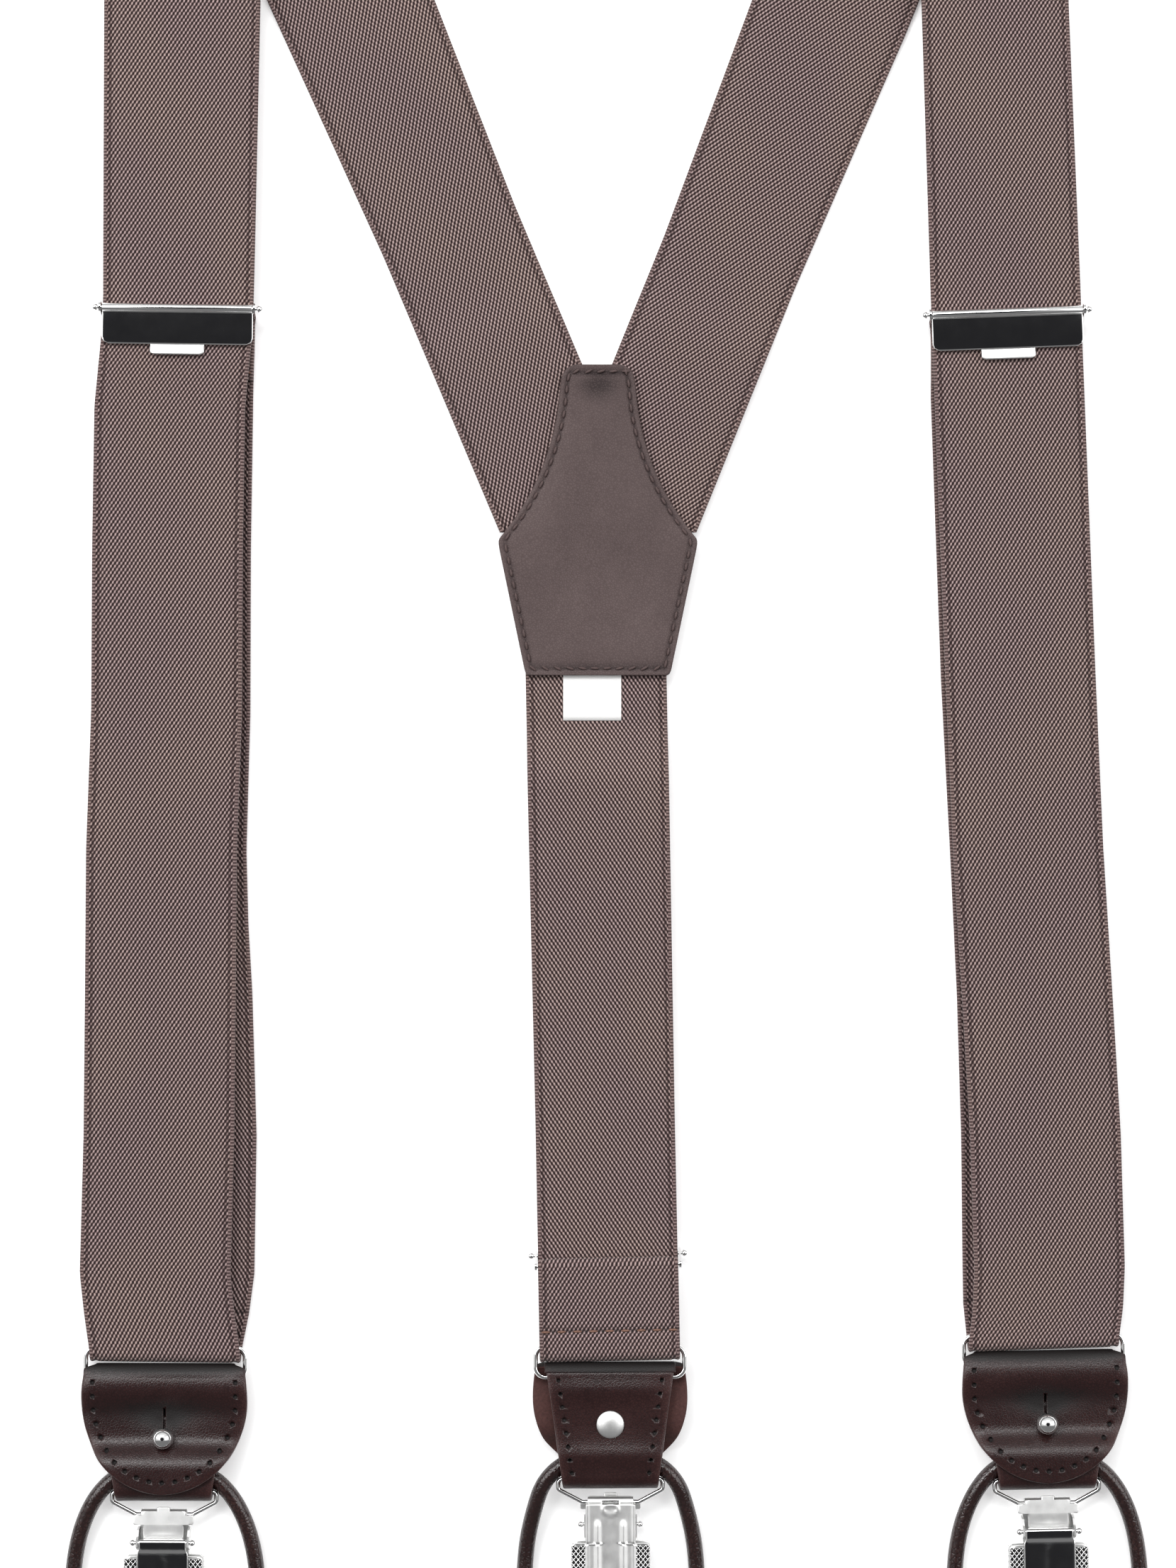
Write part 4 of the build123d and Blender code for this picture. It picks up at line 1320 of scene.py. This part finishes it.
TAB_BOTTOM, TAB_HALF, TAB_THICK = -106.0, 8.5, 3.4
SLOT_MID = (TAB_TOP + TAB_BOTTOM) / 2 - 3
SLOT_REACH, SLOT_R = 5.9, 1.1
TAB_SIDE = [(2.6, TAB_TOP), (TAB_HALF - 0.8, TAB_TOP - 6.0), (TAB_HALF, TAB_TOP - 8.0)]
TAB_OUTLINE = (TAB_SIDE + arc(0, TAB_BOTTOM + TAB_HALF, TAB_HALF, 0, -180)
               + [(-x, y) for x, y in reversed(TAB_SIDE)])
TAB_SLOT = (arc(0, SLOT_MID + SLOT_REACH, SLOT_R, 0, 180, 8)
            + arc(0, SLOT_MID - SLOT_REACH, SLOT_R, 180, 360, 8))


def scaled(loop, across, along):
    """A loop on the tab made narrower or wider about the middle of its slot."""
    return [(x * across, SLOT_MID + (y - SLOT_MID) * along) for x, y in loop]


def button_tab(name, side_name, sign):
    """One leather tab at a cord's end, with its buttonhole and its stitching on both faces."""
    low = STACK_H - TAB_THICK if name == "back" else 0.0
    spot = END[name] @ Matrix.Translation((sign * CORD_X * SIZE[name], 0, 0))
    tab = plate(f"{name}_button_tab_{side_name}", [TAB_OUTLINE, TAB_SLOT], low,
                low + TAB_THICK, 0.45, spot, LEATHER)
    put(tab, f"{name}_cord_body", "end_leather", f"{name}_button_tabs")
    lines = []
    for level in (low + 0.05, low + TAB_THICK - 0.05):
        for loop in (scaled(TAB_OUTLINE, 0.84, 0.93), scaled(TAB_SLOT + TAB_SLOT[:1], 1.9, 1.1)):
            lines.append([spot @ Vector((x, y, level)) for x, y in loop])
    sewn = stitches(f"{name}_tab_stitching_{side_name}", lines, pitch=2.2, length=1.6,
                    radius=0.2, thread=DARK_THREAD)
    put(sewn, f"{name}_cord_body", "end_leather")


for end_name in ENDS:
    button_tab(end_name, "left", -1)
    button_tab(end_name, "right", 1)


# ---------------------------------------------------------------- hardware

CLIP_PIN_Y, CLIP_PIN_Z = -6.2, 7.9
LEVER_HALF, LEVER_LEN = 5.75, 26.5


def turned(name, profile, matrix, look, sides=40):
    """A shape turned about local Z from (radius, height) points; both ends are on the axis."""
    vertices = [matrix @ Vector((0, 0, profile[0][1]))]
    for radius, level in profile[1:-1]:
        for k in range(sides):
            angle = TURN * k / sides
            vertices.append(
                matrix @ Vector((radius * math.cos(angle), radius * math.sin(angle), level)))
    vertices.append(matrix @ Vector((0, 0, profile[-1][1])))
    last, faces = len(vertices) - 1, []
    for k in range(sides):
        nxt = (k + 1) % sides
        faces.append((0, 1 + nxt, 1 + k))
        for ring in range(len(profile) - 3):
            a = 1 + ring * sides
            faces.append((a + k, a + nxt, a + sides + nxt, a + sides + k))
        a = 1 + (len(profile) - 3) * sides
        faces.append((a + k, a + nxt, last))
    return meshed(name, vertices, faces, look)


def roller(name, radius, half, y, z, matrix, look):
    """A round bar along local X with softened ends."""
    soft = radius * 0.25
    ends = [(radius - soft, soft * 0.1), (radius - soft * 0.3, soft * 0.3), (radius, soft)]
    profile = [(0, -half)] + [(r, -half + d) for r, d in ends]
    profile += [(r, half - d) for r, d in reversed(ends)] + [(0, half)]
    along = Matrix.Translation((0, y, z)) @ Matrix.Rotation(math.pi / 2, 4, "Y")
    return turned(name, profile, matrix @ along, look, 28)


def stepped_rows(pairs, level, step=0.8):
    """Rows down a flat plate from (y, half width) pairs; two pairs at one y make a shoulder."""
    rows = []
    for (y0, h0), (y1, h1) in zip(pairs, pairs[1:]):
        count = max(1, math.ceil(abs(y1 - y0) / step))
        for k in range(count):
            t = k / count
            rows.append((y0 + (y1 - y0) * t, h0 + (h1 - h0) * t))
    rows.append(pairs[-1])
    return [row_at(y, level, half, s=-y) for y, half in rows]


def sheet_metal(thick, zone=0.25, columns=16):
    """Section of sheet metal of a thickness."""
    return lambda half: leather_section(half, thick, columns, zone)


def side_plates(name, outline, x_low, x_high, matrix, look):
    """A pair of mirrored upright plates from a (y, z) outline."""
    vertices, faces = [], []
    for sign in (-1, 1):
        faces += prism_faces(len(outline), first=len(vertices))
        for x in (x_low, x_high):
            vertices += [matrix @ Vector((sign * x, y, z)) for y, z in outline]
    piece = meshed(name, vertices, faces, look)
    piece.data.polygons.foreach_set("use_smooth", [False] * len(piece.data.polygons))
    return piece


MESH_SLOPE = 1.2


def mesh_lines(x_low, x_high, y_low, y_high, level, gap, matrix):
    """Two sets of slanting lines, clipped to a pair of mirrored strips of the clip."""
    lines = []
    wide = x_high - x_low
    for sign in (-1, 1):
        for lean in (-1, 1):
            start = y_low - wide * MESH_SLOPE
            while start < y_high:
                points = []
                for x in np.linspace(0, wide, 13):
                    y = start + (x if lean > 0 else wide - x) * MESH_SLOPE
                    if y_low <= y <= y_high:
                        points.append(matrix @ Vector((sign * (x_low + x), y, level)))
                if len(points) > 2:
                    lines.append(points)
                start += gap * MESH_SLOPE
    return lines


RIVET = [(0, -0.2), (0.9, -0.17), (1.7, -0.05), (2.4, 0.13), (2.95, 0.34), (3.3, 0.56),
         (3.4, 0.68), (3.3, 0.76), (1.2, 0.8), (0, 0.8)]
BALL = [(0, 0.7), (0.9, 0.7), (1.0, 0.9), (1.0, 5.4)] + [
    (2.65 * math.cos(a), 8.1 + 2.65 * math.sin(a))
    for a in np.linspace(-1.15, math.pi / 2 - 0.06, 22)] + [(0, 10.75)]
PIN_HEAD = [(0.85 * math.cos(a), 0.85 * math.sin(a))
            for a in np.linspace(-math.pi / 2, math.pi / 2, 13)]


def plate_pair(name, x_low, x_high, y_low, y_high, low, high, matrix, look):
    """Two mirrored flat strips."""
    return side_plates(name, [(y_low, low), (y_high, low), (y_high, high), (y_low, high)],
                       x_low, x_high, matrix, look)


def stud(name):
    """The ball stud through the strip and the base disc behind it."""
    at_stud = END[name] @ Matrix.Translation((0, STUD_Y[name], 0))
    for part, profile, look in (("rivet", RIVET, SATIN), ("ball_stud", BALL, CHROME)):
        put(turned(f"{name}_{part}", profile, at_stud, look),
            f"{name}_leather", "wire_steel", f"{name}_stud")


JAW_Z, BACK_Z = 6.2, 3.4
JAW_OUTLINE = [
    (2.1, 1.2), (1.95, 1.65), (1.15, 1.65), (1.13, 5.2), (1.0, 5.5), (0.2, 5.5), (0.18, 7.2),
    (0.0, 7.4), (-1.8, 7.4), (-2.05, 7.2), (-2.1, 5.0), (-9.4, 5.0), (-9.8, 5.3),
    (-9.95, 9.2), (-10.5, 9.7), (-40.6, 9.7), (-41.5, 9.4), (-42.0, 8.4)]
BACK_OUTLINE = [
    (-0.3, 5.9), (-0.6, 6.1), (-9.9, 6.1), (-10.0, 9.2), (-10.5, 9.6), (-40.6, 9.6),
    (-41.5, 9.3), (-42.0, 8.3)]
RIB_TOP, RIB_FOOT = -4.2, -21.5
LEVER_TOP = CLIP_PIN_Z + 0.68
LEVER_END = CLIP_PIN_Y - LEVER_LEN
LEVER_PATH = [
    (CLIP_PIN_Y - 0.4, CLIP_PIN_Z - 0.55), (CLIP_PIN_Y + 0.66, CLIP_PIN_Z - 0.55),
    (CLIP_PIN_Y + 0.66, LEVER_TOP), (CLIP_PIN_Y - 1.7, LEVER_TOP),
    (CLIP_PIN_Y - 2.3, LEVER_TOP - 0.25), (LEVER_END + 4, LEVER_TOP - 0.25),
    (LEVER_END, LEVER_TOP + 0.8)]
EAR_OUTLINE = [
    (-3.0, 3.7), (-3.4, 6.4), (CLIP_PIN_Y + 1.4, CLIP_PIN_Z - 0.4), (CLIP_PIN_Y + 0.9, 8.8),
    (CLIP_PIN_Y - 0.9, 8.8), (-8.2, 6.4), (-8.6, 3.7)]
WING_IN, WING_OUT = 6.4, 9.45
WING_LOW, WING_HIGH = -41.0, -10.6


def clip_jaw(name, clip):
    """The moving front plate of the clip."""
    def relief(row, x, level):
        """The head dips towards the bail; the neck has a roof-shaped fold below the pin."""
        if row["y"] > -2.1:
            return -0.12 * (row["y"] + 2.1)
        return 0.25 * bell(row["y"], -5.0, 0.5) * max(0.0, 1 - abs(x) / 5)

    jaw = band(f"{name}_clip_front_jaw", stepped_rows(JAW_OUTLINE, JAW_Z), sheet_metal(0.6), clip,
               SATIN, relief)
    put(jaw, f"{name}_jaw", "clip_steel", f"{name}_clip_jaw")


def clip_lever(name, clip):
    """The lever that closes the clip, with its cam turned round the pin."""
    def half(s, y):
        return LEVER_HALF + 0.5 * share_of((CLIP_PIN_Y - 1.9 - y) / 0.6)

    def relief(row, x, level):
        """A faint line pressed down the middle."""
        return -0.03 * bell(x, 0, 0.9) if row["s"] > 6 else 0.0

    rows = rows_along(rounded(LEVER_PATH, [0.54, 0.6, 0.6, 0.6, 8], 0.15), half, step=0.8)
    lever = band(f"{name}_clip_cam_lever", rows, sheet_metal(0.36, zone=0.3, columns=20), clip,
                 CHROME, relief)
    put(lever, f"{name}_clip_lever_body", "clip_steel", f"{name}_clip_lever")


def clip_back(name, clip):
    """The clip's back plate."""
    def relief(row, x, level):
        """Pressed from the outer side: rims, a slot's collar and two ribs joined at the foot."""
        if level > 0:
            return 0.0
        y, wide = row["y"], abs(x)
        rib = bell(wide, 3.15, 0.62) if RIB_FOOT < y < RIB_TOP else 0.0
        rib *= min(1.0, (RIB_TOP - y) / 0.8, (y - RIB_FOOT) / 0.6) if rib else 0.0
        foot_rib = bell(y, -21.0, 0.7) if wide < 3.6 else 0.0
        rim = bell(wide, 5.7, 0.5) if y > -26 else 0.0
        raised = 0.35 if wide < 6.15 and y > -27 else 0.0
        collar = bell(math.hypot(wide / 1.9, (y + 1.5) / 1.2), 1, 0.25)
        return -(0.42 * max(rib, foot_rib) + 0.18 * rim + raised + 0.25 * collar)

    backing = band(f"{name}_clip_back_plate", stepped_rows(BACK_OUTLINE, BACK_Z, 0.6),
                   sheet_metal(0.6, columns=60), clip, SATIN, relief)
    put(backing, f"{name}_clip", "clip_steel", f"{name}_clip_back")


def clip_curl(name, clip):
    """The plate's upper end, curled round the bail, with its slot."""
    path = rounded([(-0.9, 3.2), (1.15, 3.2), (1.15, 5.5), (-1.15, 5.5), (-1.15, 4.6)],
                   [1.1, 1.1, 0.8], 0.2)
    curl = band(f"{name}_clip_curl", rows_along(path, lambda s, y: 5.6, step=0.6),
                sheet_metal(0.4, zone=0.2, columns=12), clip, SATIN)
    # painted shade: the slot's cut walls take the dark pit plating
    curl = carved(curl, block("slot", (-2.0, 2.0), (-0.9, 0.6), (2.2, 4.0), clip, PIT_SHADE))
    put(curl, f"{name}_clip", "clip_steel")


def clip_ears(name, clip):
    """The two upright ears that hold the pin."""
    put(side_plates(f"{name}_clip_ears", EAR_OUTLINE, 5.95, 6.45, clip, SATIN),
        f"{name}_clip", "clip_steel")


def clip_wings(name, clip):
    """The pressed mesh on both sides of each jaw: bright ridges over a dark plate that is painted
    shade for the pits.
    """
    for which, level, body in (("front", 6.54, "jaw"), ("back", 3.06, "clip")):
        lines = mesh_lines(WING_IN, WING_OUT, WING_LOW, WING_HIGH, level, gap=1.15, matrix=clip)
        ridges = stitches(f"{name}_{which}_wing_mesh", lines, pitch=0.42, length=0.6, radius=0.17,
                          thread=CHROME)
        put(ridges, f"{name}_{body}", "clip_steel")
        # painted shade: a dark plate under the ridges for the shade in the pits
        pit_shade = plate_pair(f"{name}_{which}_wing_pit_shade", WING_IN - 0.1, WING_OUT, WING_LOW - 0.1,
                          WING_HIGH + 0.1, level - 0.06, level + 0.02, clip, PIT_SHADE)
        put(pit_shade, f"{name}_{body}", "clip_steel")


ADJUSTER_PIN_Z = 7.0


def adjuster_pin(name, adjuster, half):
    """The rolled edge round the adjuster's pin and the pin's two ball ends."""
    put(roller(f"{name}_adjuster_roll", 1.05, half, 0, ADJUSTER_PIN_Z, adjuster, CHROME),
        f"{name}_lever", "adjuster_steel")
    for side_name, sign in (("left", -1), ("right", 1)):
        spot = adjuster @ Matrix.Translation((sign * (half + 1.6), 0, ADJUSTER_PIN_Z))
        put(turned(f"{name}_pin_head_{side_name}", PIN_HEAD, spot, CHROME, 20),
            f"{name}_adjuster", "adjuster_steel")


def adjuster_lever(name, adjuster, half):
    """The adjuster's polished flap and its finger tab."""
    def tab_half(s, y):
        return 6.65 - 0.9 * max(0.0, (-10.7 - y) / 0.6) ** 2

    flap_outline = [(-0.3, half), (-7.2, half), (-8.1, half - 0.35), (-8.8, half - 1.6)]
    flap_rows = stepped_rows(flap_outline, level=6.55, step=0.5)
    mirror = band(f"{name}_adjuster_flap", flap_rows, sheet_metal(0.5, zone=0.3, columns=20),
                  adjuster, CHROME, lambda row, x, level: -0.005 * (row["y"] + 4.2) ** 2)
    put(mirror, f"{name}_lever", "adjuster_steel", f"{name}_adjuster_lever")
    tab_path = rounded([(-7.8, 6.3), (-8.9, 6.2), (-9.9, 6.6), (-11.3, 6.6)], [0.8, 1.2])
    tab = band(f"{name}_adjuster_tab", rows_along(tab_path, tab_half, step=0.35),
               sheet_metal(0.55, zone=0.5, columns=12), adjuster, SATIN)
    put(tab, f"{name}_lever", "adjuster_steel")


for end_name in ENDS:
    stud(end_name)
    clip_place = END[end_name] @ Matrix.Translation((0, CLIP_Y[end_name], 0))
    for make in (clip_jaw, clip_lever, clip_back, clip_curl, clip_ears, clip_wings):
        make(end_name, clip_place)
    adjuster_place = STRAP[end_name] @ Matrix.Translation((0, REACH[end_name], 0))
    web_half = (BACK_W if end_name == "back" else FRONT_W) / 2
    adjuster_pin(end_name, adjuster_place, web_half)
    adjuster_lever(end_name, adjuster_place, web_half)
